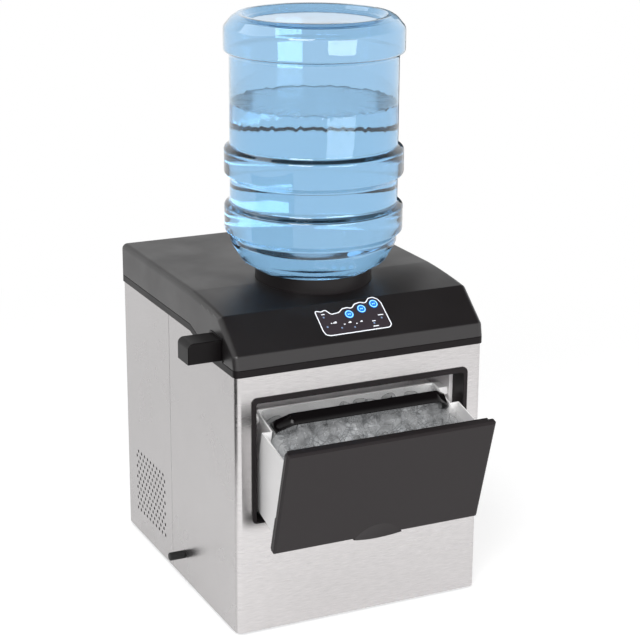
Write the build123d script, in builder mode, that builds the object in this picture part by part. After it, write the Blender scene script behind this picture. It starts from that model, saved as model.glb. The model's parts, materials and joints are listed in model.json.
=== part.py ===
"""Countertop ice maker with a bottled water dispenser on top, in millimetres.

X runs to the right, Y to the back and Z up. The origin is the centre of the housing on the worktop.
The ice drawer is drawn slid out and tilted forward, which is its rest position.
"""

from build123d import *
import os
from math import atan2, cos, degrees, radians, sin

os.makedirs("parts", exist_ok=True)

# Fits
FIT = 0.1
RUN_FIT = 0.05
SLIDE_FIT = 0.3

# Drawer panel, its lean and its travel
DRAWER_TILT = 16.0
DRAWER_TRAVEL = 83.0
PANEL_W = 304.4
PANEL_H = 159.0
PANEL_T = 9.0
PANEL_BEVEL = 3.0
PANEL_LIP_INSET = 6.2
PANEL_LIP_W = PANEL_W - 2 * PANEL_LIP_INSET
PANEL_LIP_HIGH = PANEL_H - PANEL_BEVEL
PANEL_LIP_H = 6.0
PANEL_LIP_LOW = PANEL_LIP_HIGH - PANEL_LIP_H
PANEL_LIP_T = 7.2
PANEL_EAR_W = 4.5
PANEL_EAR_H = 50.0
PANEL_EAR_T = 3.0
PANEL_EAR_INSET = 0.5
SCOOP_HALF_W = 36.0
SCOOP_RISE = 20.5
SCOOP_LIP_DROP = 6.0
SCOOP_DEPTH = 3.5
SCOOP_LIP_T = 5.8

# Drawer opening: bezel, tunnel and cavity, sized from the panel
PANEL_SIDE_GAP = 1.6
PANEL_HEADROOM = 6.4
BEZEL_SIDE = 6.2
BEZEL_SILL = 2.4
BEZEL_HEAD = 7.5
BEZEL_T = 2.0
BEZEL_CORNER_R = 8.0
LIP_OVERLAP = 1.7
TUNNEL_WALL = 1.2
TUNNEL_DEPTH = 31.5
CAVITY_STEP = 3.8
CAVITY_SILL = 2.0
CAVITY_HEAD = 3.9
LINER_WALL = 2.0
LINER_LIP = 6.0
LIP_HALF_W = PANEL_W / 2 + PANEL_SIDE_GAP
LIP_LOW_H = 158.0
LIP_HIGH_H = LIP_LOW_H + PANEL_H + PANEL_HEADROOM
BEZEL_HALF_W = LIP_HALF_W + BEZEL_SIDE
BEZEL_LOW_H = LIP_LOW_H - BEZEL_SILL
BEZEL_HIGH_H = LIP_HIGH_H + BEZEL_HEAD
TUNNEL_HALF_W = LIP_HALF_W + LIP_OVERLAP
TUNNEL_HIGH_H = LIP_HIGH_H + LIP_OVERLAP
CAVITY_HALF_W = LIP_HALF_W - CAVITY_STEP
CAVITY_LOW_H = LIP_LOW_H + CAVITY_SILL
CAVITY_HIGH_H = TUNNEL_HIGH_H + CAVITY_HEAD

# Hinge of the drawer and its sliding shoes
HINGE_BEHIND = 42.0
HINGE_DROP = 37.4
HINGE_REACH = 94.0
HINGE_H = LIP_HIGH_H - HINGE_DROP
HINGE_BELOW_PANEL = 3.7
HINGE_RISE = PANEL_H - HINGE_BELOW_PANEL
HINGE_PIN_R = 3.0
HINGE_BOSS_R = 7.0
HINGE_BOSS_T = 3.0
SHOE_FRONT = 6.0
SHOE_L = 24.0
SHOE_H = 11.0
SHOE_NECK_H = 7.0
SHOE_BLOCK_W = 13.0
SHOE_INNER_X = CAVITY_HALF_W - SHOE_BLOCK_W
RAIL_DEPTH = 3.5
RAIL_WALL = 1.5
CAVITY_END_GAP = 4.0
PANEL_FOOT_BEHIND = HINGE_BEHIND - HINGE_REACH
PANEL_FOOT_H = HINGE_H - HINGE_RISE
CAVITY_BACK_BEHIND = HINGE_BEHIND - SHOE_FRONT + SHOE_L + DRAWER_TRAVEL + CAVITY_END_GAP

# Feet, base pan and sheet casing: the tank stands behind the cavity and the cooling unit behind the tank
TANK_GAP = 3.0
TANK_D = 85.0
MACHINE_BAY_D = 189.5
SIDE_BAY_W = 32.0
TANK_FRONT_BEHIND = CAVITY_BACK_BEHIND + TANK_GAP
TANK_BACK_BEHIND = TANK_FRONT_BEHIND + TANK_D
HOUSING_W = 2 * (CAVITY_HALF_W + SIDE_BAY_W)
HOUSING_D = TANK_BACK_BEHIND + MACHINE_BAY_D
BAY_MID_BEHIND = TANK_BACK_BEHIND + MACHINE_BAY_D / 2
FRONT_Y = -HOUSING_D / 2
BACK_Y = HOUSING_D / 2
SIDE_X = HOUSING_W / 2
FOOT_H = 5.0
FOOT_R = 12.0
FOOT_TAPER = 1.0
FOOT_PEG_R = 4.0
FOOT_INSET = 32.0
SHEET = 1.2
SHEET_CORNER_R = 8.0
PAN_WALL = 2.0
PAN_RIM_H = 14.0
SEAM_PAST_TANK = 2.5
SEAM_BEHIND = TANK_BACK_BEHIND + SEAM_PAST_TANK
SEAM_GAP = 0.8

# Cover and its rim: the rim's lower edge steps up towards the back
SHEET_ABOVE_BEZEL = 30.4
RIM_STEP = 20.7
BAND_H = 28.2
SLOPE_RISE = 40.5
ROOF_RISE = 8.5
ROOF_SAG = 1.1
COVER_OVERHANG = 1.5
COVER_WALL = 2.5
COVER_EDGE_R = 8.0
SLOPE_EDGE_R = 3.0
RIM_RAMP_BEHIND = 82.0
RIM_RAMP_L = 71.0
RIM_BAND_H = 10.2
GROOVE_W = 0.9
GROOVE_DEPTH = 1.0
SHEET_LAP_H = 6.0
BAND_LEAN = 3.5
SLOPE_TOP_BEHIND = 51.0
ROOF_ARCH_L = 99.0
ROOF_FLAT_BEHIND = SLOPE_TOP_BEHIND + ROOF_ARCH_L
RIM_LOW_H = BEZEL_HIGH_H + SHEET_ABOVE_BEZEL
RIM_HIGH_H = RIM_LOW_H + RIM_STEP
BAND_TOP_H = RIM_LOW_H + BAND_H
SLOPE_TOP_H = BAND_TOP_H + SLOPE_RISE
ROOF_H = SLOPE_TOP_H + ROOF_RISE

# Bin behind the panel: a wide front half and a narrower back half
BIN_WALL = 2.2
BIN_SIDE_GAP = 3.5
BIN_HALF_W = CAVITY_HALF_W - BIN_SIDE_GAP
BIN_BACK_HALF_W = SHOE_INNER_X - HINGE_BOSS_T - SLIDE_FIT
BIN_BACK = 141.0
BIN_NARROW_L = 51.0
BIN_STEP_BACK = BIN_BACK - BIN_NARROW_L
BIN_FLOOR = 19.5
BIN_FLOOR_T = 2.5
BIN_BELOW_PANEL = 22.0
BIN_RIM_FALL = 4.5
BIN_RIM_FRONT = PANEL_H - BIN_BELOW_PANEL
BIN_RIM_BACK = BIN_RIM_FRONT - BIN_RIM_FALL
BIN_SCREW_INSET = 28.5
BIN_SCREW_RISE = 25.5
BIN_SCREW_FALL = 22.0
BIN_SCREW_X = BIN_HALF_W - BIN_SCREW_INSET
BIN_SCREW_UP = (BIN_FLOOR + BIN_SCREW_RISE, BIN_RIM_FRONT - BIN_SCREW_FALL)
SCREW_HEAD_R = 3.5
SCREW_HEAD_H = 2.0
SCREW_R = 1.5
SCREW_BITE = 5.0

# Ice basket and its handle
BASKET_GAP = 0.7
BASKET_WALL = 2.0
BASKET_FLOOR_T = 2.5
BASKET_CORNER_R = 12.0
BASKET_LIFT = 0.3
BASKET_SLOT_W = 4.0
BASKET_SLOT_L = 60.0
BASKET_SLOTS = 5
BASKET_SLOT_PITCH = 18.0
HANDLE_PIVOT_INSET = 30.0
HANDLE_PIVOT_DROP = 26.5
HANDLE_PIVOT_BACK = BIN_BACK - HANDLE_PIVOT_INSET
HANDLE_PIVOT_UP = BIN_RIM_BACK - HANDLE_PIVOT_DROP
HANDLE_LEAN = 31.0
HANDLE_ARM_L = 37.0
HANDLE_REACH = 55.0
HANDLE_SHOULDER_W = 20.5
HANDLE_STRAP_T = 2.6
HANDLE_STRAP_W = 13.0
HANDLE_EYE_R = 7.0
HANDLE_STUD_R = 3.0
HANDLE_STUD_L = 4.5

# Bottle, turned upside down on its collar: heights of its rings above the seat, and radii from its body
BOTTLE_PAST_SLOPE = 103.1
BOTTLE_BEHIND = SLOPE_TOP_BEHIND + BOTTLE_PAST_SLOPE
BOTTLE_WALL = 1.2
BOTTLE_BODY_R = 114.0
BOTTLE_SEAT_R = 80.0
BOTTLE_SEAT_RISE = 15.5
BOTTLE_RIDGE_PROUD = 7.8
BOTTLE_CHIME_PROUD = 7.6
BOTTLE_BASE_INSET = 5.6
BOTTLE_RIM_INSET = 16.0
BOTTLE_RIM_W = 7.0
BOTTLE_DISH_FLANK = 7.0
BOTTLE_RIDGE_R = BOTTLE_BODY_R + BOTTLE_RIDGE_PROUD
BOTTLE_CHIME_R = BOTTLE_BODY_R + BOTTLE_CHIME_PROUD
BOTTLE_BASE_R = BOTTLE_BODY_R - BOTTLE_BASE_INSET
BOTTLE_RIM_R = BOTTLE_BODY_R - BOTTLE_RIM_INSET
BOTTLE_RIM_IN_R = BOTTLE_RIM_R - BOTTLE_RIM_W
BOTTLE_DISH_R = BOTTLE_RIM_IN_R - BOTTLE_DISH_FLANK
BOTTLE_SHOULDER_FULLNESS = 0.58
BOTTLE_SHOULDER_MID_R = BOTTLE_SEAT_R + BOTTLE_SHOULDER_FULLNESS * (BOTTLE_BODY_R - BOTTLE_SEAT_R)
BOTTLE_SEAT_W = 14.0
BOTTLE_SEAT_FALL = 8.0
BOTTLE_SHOULDER_MID = 11.8
BOTTLE_SHOULDER_L = 36.6
BOTTLE_RIDGE_PITCH = 78.0
BOTTLE_RIDGE_W = 34.0
BOTTLE_RIDGE_FLANK = 5.0
BOTTLE_RIDGE_RISE = 16.8
BOTTLE_CHIME_RISE = 164.7
BOTTLE_CHIME_W = 31.0
BOTTLE_CHIME_ROUND = 12.4
BOTTLE_RIM_RISE = 5.2
BOTTLE_DISH_DEPTH = 10.7
BOTTLE_SEAT_IN_R = BOTTLE_SEAT_R - BOTTLE_SEAT_W
BOTTLE_SEAT_H = ROOF_H + BOTTLE_SEAT_RISE
BOTTLE_SEAT_IN_H = BOTTLE_SEAT_H - BOTTLE_SEAT_FALL
BOTTLE_SHOULDER_MID_H = BOTTLE_SEAT_H + BOTTLE_SHOULDER_MID
BOTTLE_SHOULDER_TOP_H = BOTTLE_SEAT_H + BOTTLE_SHOULDER_L
BOTTLE_RIDGE_LOW_H = BOTTLE_SHOULDER_TOP_H + BOTTLE_RIDGE_RISE
BOTTLE_RIDGE_HIGH_H = BOTTLE_RIDGE_LOW_H + BOTTLE_RIDGE_PITCH
BOTTLE_CHIME_H = BOTTLE_RIDGE_HIGH_H + BOTTLE_CHIME_RISE
BOTTLE_BASE_H = BOTTLE_CHIME_H + BOTTLE_CHIME_W + BOTTLE_CHIME_ROUND
BOTTLE_RIM_H = BOTTLE_BASE_H + BOTTLE_RIM_RISE
BOTTLE_DISH_H = BOTTLE_RIM_H - BOTTLE_DISH_DEPTH
BOTTLE_CORNER_R = 3.0
NECK_R = 27.5
NECK_DROP = 9.5
NECK_L = 40.5
NECK_TOP_H = BOTTLE_SEAT_IN_H - NECK_DROP
CAP_SKIRT = 2.0
CAP_R = NECK_R + CAP_SKIRT
CAP_L = 20.0
CAP_WALL = 1.6
VALVE_R = 12.0

# Ice unit above and behind the cavity
ICE_WAY_INSET = 42.0
ICE_WAY_H = 26.0
ICE_WAY_HEAD = 4.0
TRAY_PAST_CAVITY = 38.0
TRAY_RISE = 9.0
ICE_WAY_HALF_W = CAVITY_HALF_W - ICE_WAY_INSET
ICE_WAY_LOW_H = CAVITY_HIGH_H - ICE_WAY_HEAD - ICE_WAY_H
TRAY_BEHIND = CAVITY_BACK_BEHIND + TRAY_PAST_CAVITY
TRAY_H = CAVITY_HIGH_H + TRAY_RISE
TRAY_R = 29.0
TRAY_WALL = 2.0
TRAY_HALF_W = ICE_WAY_HALF_W
TRAY_GAP = 4.0
TRAY_PIN_R = 4.0
TRAY_PIN_PROUD = 6.0
TRAY_MOTOR_R = 16.0
TRAY_MOTOR_L = 18.0
FRAME_T = 2.0
FRAME_RISE = 39.0
FRAME_H = 56.0
FRAME_TOP_H = TRAY_H + FRAME_RISE
EVAP_T = 6.0
EVAP_HALF_W = ICE_WAY_HALF_W
EVAP_D = 46.0
EVAP_EDGE = 4.0
FINGER_R = 5.0
FINGERS = 8
FINGER_PITCH = 2 * (EVAP_HALF_W - EVAP_EDGE) / FINGERS
FINGER_ROW_PITCH = 22.0
FINGER_DIP = 15.0
CHUTE_GAP = 2.0
CHUTE_BACK_H = TRAY_H - TRAY_R - CHUTE_GAP
CHUTE_EDGE = 9.0
CHUTE_SLOTS = 22
CHUTE_SLOT_PITCH = 2 * (ICE_WAY_HALF_W - CHUTE_EDGE) / CHUTE_SLOTS
CHUTE_SLOT_W = 4.0
CHUTE_SLOT_L = 44.0
CHUTE_FOOT_H = 14.0
FLAP_T = 3.0
FLAP_LAP = 2.0
FLAP_AXIS_H = CAVITY_HIGH_H - FLAP_LAP
FLAP_HALF_W = ICE_WAY_HALF_W + FLAP_LAP
FLAP_PIN_R = 0.8
FLAP_LUG_W = 4.0
SENSOR_INSET = 39.0
SENSOR_DROP = 18.0
SENSOR_BEHIND = CAVITY_BACK_BEHIND - SENSOR_INSET
SENSOR_H = CAVITY_HIGH_H - SENSOR_DROP
SENSOR_L = 16.0
SENSOR_W = 10.0
SENSOR_T = 2.4

# Collar and the cup that receives the bottle's neck
COLLAR_LEDGE = 4.0
COLLAR_DROP = 12.0
COLLAR_FLANGE_W = 6.0
COLLAR_HOLE_R = BOTTLE_SEAT_IN_R - COLLAR_LEDGE
COLLAR_LOW_H = ROOF_H - COLLAR_DROP
COLLAR_FLANGE_R = BOTTLE_SEAT_R + COLLAR_FLANGE_W
COLLAR_FLANGE_T = 2.8
COLLAR_TOP_DROP = 1.4
CUP_MARGIN = 2.0
CUP_WALL = 2.5
CUP_ABOVE_FRAME = 7.0
CUP_R = BOTTLE_SEAT_IN_R + CUP_MARGIN
CUP_LOW_H = FRAME_TOP_H + CUP_ABOVE_FRAME
CUP_FLANGE = 8.0
PROBE_R = 9.0
PROBE_WALL = 2.0
PROBE_L = 28.0
PROBE_PORT_H = 5.0

# Water spout on the left side
SPOUT_FRONT_BEHIND = 40.0
SPOUT_W = 38.0
SPOUT_BELOW_CUP = 10.5
SPOUT_LOW_H = CUP_LOW_H - SPOUT_BELOW_CUP
SPOUT_H = 28.5
SPOUT_REACH = 47.0
SPOUT_NOSE_R = 8.0
SPOUT_EDGE_R = 1.5
SPOUT_PLATE_MARGIN = 3.0
SPOUT_PLATE_T = 1.0
NOZZLE_R = 8.0
NOZZLE_BORE_R = 5.5
NOZZLE_PROUD = 2.5
NOZZLE_SINK = 12.0
NOZZLE_FROM_END = 15.0
SPOUT_WALL = 3.0

# Hoses from the cup to the tank and to the spout, with the spout's valve
HOSE_R = 5.0
HOSE_BORE_R = 3.5
HOSE_BEND_R = 9.0
OUTLET_RISE = 12.0
FILL_INSET = 50.0
FILL_PAST_TANK_FRONT = 40.0
FILL_OUTLET_H = CUP_LOW_H + OUTLET_RISE
FILL_X = SIDE_X - FILL_INSET
FILL_BEHIND = TANK_FRONT_BEHIND + FILL_PAST_TANK_FRONT
FILL_DIP = 20.0
SPOUT_HOSE_X = 50.0
VALVE_INSET = 62.0
VALVE_X = SIDE_X - VALVE_INSET
VALVE_W = 22.0
VALVE_L = 36.0
VALVE_COIL_H = 14.0

# Controls on the slope
OVERLAY_T = 0.8
BUTTON_R = 6.4
BUTTON_PROUD = 1.0
BUTTON_STEM_R = 3.0
BUTTON_TRAVEL = 1.0
BUTTON_X = (-4.5, 15.8, 35.6)
BUTTON_UP = (40.6, 46.5, 51.8)
BUTTON_FIT = 0.25
LAMP_R = 1.3
LAMP_SPOTS = ((-41.6, 41.1), (-41.3, 25.9), (-21.7, 21.7), (-3.1, 20.2), (26.2, 22.5), (39.6, 29.1))
BOARD_W = 108.0
BOARD_H = 46.0
BOARD_T = 1.6
BOARD_DROP = 12.0
BOARD_UP = 38.0
POST_R = 2.5
SWITCH_W = 6.0
SWITCH_H = 4.0

# Tank, pump and tubes
TANK_LEFT_INSET = 42.0
TANK_RIGHT_INSET = 62.0
TANK_LEFT_X = TANK_LEFT_INSET - SIDE_X
TANK_RIGHT_X = SIDE_X - TANK_RIGHT_INSET
TANK_LOW_H = 50.0
TANK_H = 90.0
TANK_HIGH_H = TANK_LOW_H + TANK_H
TANK_WALL = 2.5
TANK_CORNER_R = 10.0
TANK_LEG = 14.0
PUMP_X = -60.0
PUMP_PAST_TANK = 29.0
PUMP_BEHIND = TANK_BACK_BEHIND + PUMP_PAST_TANK
PUMP_R = 22.0
PUMP_H = 70.0
TUBE_R = 4.0
RISER_BELOW_FRAME = 5.0
RISER_PAST_TRAY = 32.0
RISER_TOP_H = FRAME_TOP_H - RISER_BELOW_FRAME
RISER_END_BEHIND = TRAY_BEHIND + RISER_PAST_TRAY

# Drain tube and its cap
DRAIN_PAST_TANK_FRONT = 43.5
DRAIN_BELOW_TANK = 13.0
DRAIN_INSET = 30.0
DRAIN_BEHIND = TANK_FRONT_BEHIND + DRAIN_PAST_TANK_FRONT
DRAIN_H = TANK_LOW_H - DRAIN_BELOW_TANK
DRAIN_TURN_X = TANK_LEFT_X + DRAIN_INSET
DRAIN_BEND_R = 8.0
DRAIN_PROUD = 12.0
DRAIN_TUBE_R = 4.0
DRAIN_BORE_R = 2.5
DRAIN_PORT_R = 5.0
DRAIN_CAP_R = 5.8
DRAIN_CAP_L = 22.0
DRAIN_CAP_BEVEL = 1.0

# Cooling unit
COMP_INSET = 72.0
COMP_X = SIDE_X - COMP_INSET
COMP_R = 52.0
COMP_FOOT_T = 4.0
COMP_TALL = 140.0
COND_INSET = 6.0
COND_END_GAP = 29.75
COND_H = 84.0
COND_X = COND_INSET - SIDE_X
COND_W = MACHINE_BAY_D - 2 * COND_END_GAP
COND_TALL = 120.0
COND_T = 24.0
COND_FIN_DEPTH = 20.0
COND_FIN_PITCH = 8.0
COND_FINS = 14
SHROUD_WALL = 2.0
SHROUD_L = 34.0
SHROUD_R = 50.0
SPOKE_W = 6.0
FAN_TIP_GAP = 3.0
FAN_R = SHROUD_R - FAN_TIP_GAP
FAN_HUB_R = 15.0
FAN_L = 18.0
FAN_GAP = 5.0
FAN_BLADES = 5
FAN_BLADE_T = 1.6
FAN_PITCH = 35.0
FAN_SHAFT_R = 2.0
FAN_MOTOR_R = 18.0
FAN_MOTOR_L = 22.0
PIPE_R = 3.0
PIPE_BEND_R = 10.0
PIPE_LOOP = 14.0
DISCHARGE_RISE = 30.0
DISCHARGE_H = COMP_TALL + DISCHARGE_RISE

# Side vents, back slots, casing screws and power inlet
VENT_R = 2.75
VENT_COLUMN_PITCH = 12.7
VENT_COLUMNS = 10
VENT_REACH = 62.75
VENT_FIRST_BEHIND = BAY_MID_BEHIND - VENT_REACH
VENT_LOW_H = 36.5
VENT_ROW_PITCH = 8.4
VENT_ROWS = 12
BACK_SLOTS = 9
BACK_SLOT_W = 5.0
BACK_SLOT_L = 90.0
BACK_SLOT_PITCH = 14.0
BACK_SLOT_INSET = 92.0
BACK_SLOT_X = BACK_SLOT_INSET - SIDE_X
BACK_SLOT_H = 110.0
CASING_SCREW_PITCH = 150.0
INLET_INSET = 52.0
INLET_X = SIDE_X - INLET_INSET
INLET_H = 48.0
INLET_W = 27.0
INLET_TALL = 20.0
INLET_FLANGE = 4.0
INLET_FLANGE_T = 2.0
INLET_DEPTH = 22.0
INLET_WALL = 2.0
CONTACT_PITCH = 7.0
CONTACT_RISE = 4.0
CONTACT_W = 2.0


def behind(distance):
    """Y of a point that lies this far behind the casing's front face."""
    return FRONT_Y + distance


def above(height):
    """Z of a point that lies this far above the casing's lower edge."""
    return FOOT_H + height


def level(z):
    """Plane parallel to the worktop at height z."""
    return Plane.XY.offset(z)


def facing_front(y):
    """Upright plane across the housing at y, drawn in X and Z, whose normal points to the front."""
    return Plane.XZ.offset(-y)


def facing_right(x):
    """Upright plane along the housing at x, drawn in Y and Z, whose normal points to the right."""
    return Plane.YZ.offset(x)


def finish(builder, name):
    """Label a finished piece and write it."""
    builder.part.label = name
    export_step(builder.part, f"parts/{name}.step")


# Base pan and feet
PAN_W = HOUSING_W - 2 * SHEET - 2 * FIT
PAN_D = HOUSING_D - 2 * SHEET - 2 * FIT
PAN_CORNER_R = SHEET_CORNER_R - SHEET - FIT
FOOT_SPOTS = GridLocations(HOUSING_W - 2 * FOOT_INSET, HOUSING_D - 2 * FOOT_INSET, 2, 2)

with BuildPart() as base_pan:
    with BuildSketch(level(above(0))):
        RectangleRounded(PAN_W, PAN_D, PAN_CORNER_R)
        with FOOT_SPOTS:
            Circle(FOOT_PEG_R + FIT, mode=Mode.SUBTRACT)
    extrude(amount=PAN_WALL)
    with BuildSketch(level(above(PAN_WALL))):
        RectangleRounded(PAN_W, PAN_D, PAN_CORNER_R)
        RectangleRounded(PAN_W - 2 * PAN_WALL, PAN_D - 2 * PAN_WALL, PAN_CORNER_R - PAN_WALL,
                         mode=Mode.SUBTRACT)
    extrude(amount=PAN_RIM_H - PAN_WALL)
finish(base_pan, "base_pan")

for number, spot in enumerate(FOOT_SPOTS.locations, start=1):
    with BuildPart() as foot:
        with BuildSketch(Plane(spot.position)):
            Circle(FOOT_R - FOOT_TAPER)
        with BuildSketch(Plane(spot.position).offset(FOOT_H)):
            Circle(FOOT_R)
        loft()
        with BuildSketch(Plane(spot.position).offset(FOOT_H)):
            Circle(FOOT_PEG_R)
        extrude(amount=PAN_WALL)
    finish(foot, f"foot_{number}")


def rim_line(lift):
    """Corners of the rim's stepped line in Y and Z, raised by lift, from front to back."""
    return [
        (FRONT_Y - 2 * SHEET_CORNER_R, above(RIM_LOW_H + lift)),
        (behind(RIM_RAMP_BEHIND), above(RIM_LOW_H + lift)),
        (behind(RIM_RAMP_BEHIND + RIM_RAMP_L), above(RIM_HIGH_H + lift)),
        (BACK_Y + 2 * SHEET_CORNER_R, above(RIM_HIGH_H + lift)),
    ]


def side_of_rim(lift, z):
    """Area in Y and Z between the rim's stepped line, raised by lift, and height z."""
    line = rim_line(lift)
    with BuildSketch(Plane.YZ) as area:
        Polygon(*line, (line[-1][0], z), (line[0][0], z), align=None)
    return area.sketch


def cut_below_rim(lift):
    """Cut everything below the rim's stepped line, raised by lift."""
    extrude(side_of_rim(lift, 0), amount=HOUSING_W, both=True, mode=Mode.SUBTRACT)


def cut_above_rim(lift):
    """Cut everything above the rim's stepped line, raised by lift."""
    extrude(side_of_rim(lift, above(2 * ROOF_H)), amount=HOUSING_W, both=True, mode=Mode.SUBTRACT)


# Sheet casing: a front wrap with the drawer opening and a rear wrap with the vents
OPENING_HALF_W = TUNNEL_HALF_W + TUNNEL_WALL + FIT
OPENING_LOW_H = LIP_LOW_H - TUNNEL_WALL - FIT
OPENING_HIGH_H = TUNNEL_HIGH_H + TUNNEL_WALL + FIT
SEAM_Y = behind(SEAM_BEHIND)

with BuildSketch(level(above(0))) as casing_outline:
    RectangleRounded(HOUSING_W, HOUSING_D, SHEET_CORNER_R)
    RectangleRounded(HOUSING_W - 2 * SHEET, HOUSING_D - 2 * SHEET, SHEET_CORNER_R - SHEET, mode=Mode.SUBTRACT)

with BuildPart() as front_casing:
    extrude(casing_outline.sketch, amount=ROOF_H)
    cut_above_rim(SHEET_LAP_H)
    with BuildSketch(facing_front(SEAM_Y - SEAM_GAP / 2)):
        Rectangle(2 * HOUSING_W, 4 * ROOF_H)
    extrude(amount=-HOUSING_D, mode=Mode.SUBTRACT)
    with BuildSketch(facing_front(FRONT_Y)):
        with Locations((0, above((OPENING_LOW_H + OPENING_HIGH_H) / 2))):
            RectangleRounded(2 * OPENING_HALF_W, OPENING_HIGH_H - OPENING_LOW_H, BEZEL_CORNER_R / 2)
    extrude(amount=-2 * SHEET, mode=Mode.SUBTRACT)
    with BuildSketch(facing_right(-SIDE_X)):
        with Locations((behind(DRAIN_BEHIND), above(DRAIN_H))):
            Circle(DRAIN_PORT_R + FIT)
    extrude(amount=2 * SHEET, mode=Mode.SUBTRACT)
finish(front_casing, "front_casing")

with BuildPart() as rear_casing:
    extrude(casing_outline.sketch, amount=ROOF_H)
    cut_above_rim(SHEET_LAP_H)
    with BuildSketch(facing_front(SEAM_Y + SEAM_GAP / 2)):
        Rectangle(2 * HOUSING_W, 4 * ROOF_H)
    extrude(amount=HOUSING_D, mode=Mode.SUBTRACT)
    with BuildSketch(facing_right(-SIDE_X)):
        for row in range(VENT_ROWS):
            shift = (row % 2) * VENT_COLUMN_PITCH / 2
            for column in range(VENT_COLUMNS - row % 2):
                y = behind(VENT_FIRST_BEHIND + shift + column * VENT_COLUMN_PITCH)
                with Locations((y, above(VENT_LOW_H + row * VENT_ROW_PITCH))):
                    RegularPolygon(VENT_R, 8)
    extrude(amount=2 * SHEET, mode=Mode.SUBTRACT)
    with BuildSketch(facing_front(BACK_Y)):
        with Locations((BACK_SLOT_X, above(BACK_SLOT_H))):
            with GridLocations(BACK_SLOT_PITCH, 1, BACK_SLOTS, 1):
                Rectangle(BACK_SLOT_W, BACK_SLOT_L)
        with Locations((INLET_X, above(INLET_H))):
            Rectangle(INLET_W + 2 * FIT, INLET_TALL + 2 * FIT)
        with Locations((0, above(PAN_RIM_H / 2))):
            with GridLocations(CASING_SCREW_PITCH, 1, 3, 1):
                Circle(SCREW_R + FIT)
    extrude(amount=2 * SHEET, mode=Mode.SUBTRACT)
finish(rear_casing, "rear_casing")

# Screws through the back sheet into the pan's rim
with BuildPart() as casing_screws:
    with BuildSketch(facing_front(BACK_Y + FIT)):
        with Locations((0, above(PAN_RIM_H / 2))):
            with GridLocations(CASING_SCREW_PITCH, 1, 3, 1):
                Circle(SCREW_HEAD_R)
    extrude(amount=-SCREW_HEAD_H)
    with BuildSketch(facing_front(BACK_Y + FIT)):
        with Locations((0, above(PAN_RIM_H / 2))):
            with GridLocations(CASING_SCREW_PITCH, 1, 3, 1):
                Circle(SCREW_R)
    extrude(amount=SHEET + FIT)
finish(casing_screws, "casing_screws")

# Cover and rim
COVER_W = HOUSING_W + 2 * COVER_OVERHANG
COVER_D = HOUSING_D + 2 * COVER_OVERHANG
BOTTLE_Y = behind(BOTTLE_BEHIND)
COVER_FRONT_Y = FRONT_Y - COVER_OVERHANG
SLOPE_FOOT_Y = COVER_FRONT_Y + BAND_LEAN
SLOPE_ANGLE = degrees(atan2(SLOPE_TOP_H - BAND_TOP_H, behind(SLOPE_TOP_BEHIND) - SLOPE_FOOT_Y))
SLOPE = Plane(
    (0, SLOPE_FOOT_Y, above(BAND_TOP_H)),
    x_dir=(1, 0, 0),
    z_dir=(0, -sin(radians(SLOPE_ANGLE)), cos(radians(SLOPE_ANGLE))),
)
SPOUT_Y = behind(SPOUT_FRONT_BEHIND) + SPOUT_W / 2
SPOUT_Z = above(SPOUT_LOW_H) + SPOUT_H / 2

# Side outline of the cover: band, control slope, slightly arched roof and straight back
COVER_LOW = (COVER_FRONT_Y, above(RIM_LOW_H))
BAND_TOP = (SLOPE_FOOT_Y, above(BAND_TOP_H))
SLOPE_TOP = (behind(SLOPE_TOP_BEHIND), above(SLOPE_TOP_H))
ROOF_START = (behind(ROOF_FLAT_BEHIND), above(ROOF_H))
ROOF_MIDDLE = ((SLOPE_TOP[0] + ROOF_START[0]) / 2, (SLOPE_TOP[1] + ROOF_START[1]) / 2 + ROOF_SAG)
ROOF_BACK = (BACK_Y + COVER_OVERHANG, above(ROOF_H))

with BuildSketch() as cover_side:
    with BuildLine():
        Polyline(COVER_LOW, (COVER_FRONT_Y, above(RIM_LOW_H + RIM_BAND_H)), BAND_TOP, SLOPE_TOP)
        ThreePointArc(SLOPE_TOP, ROOF_MIDDLE, ROOF_START)
        Polyline(ROOF_START, ROOF_BACK, (ROOF_BACK[0], COVER_LOW[1]), COVER_LOW)
    make_face()
    fillet(cover_side.vertices().sort_by_distance(ROOF_BACK)[0], COVER_EDGE_R)
    fillet(cover_side.vertices().sort_by_distance(BAND_TOP)[0], COVER_EDGE_R / 2)
    fillet(cover_side.vertices().sort_by_distance(SLOPE_TOP)[0], SLOPE_EDGE_R)

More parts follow.
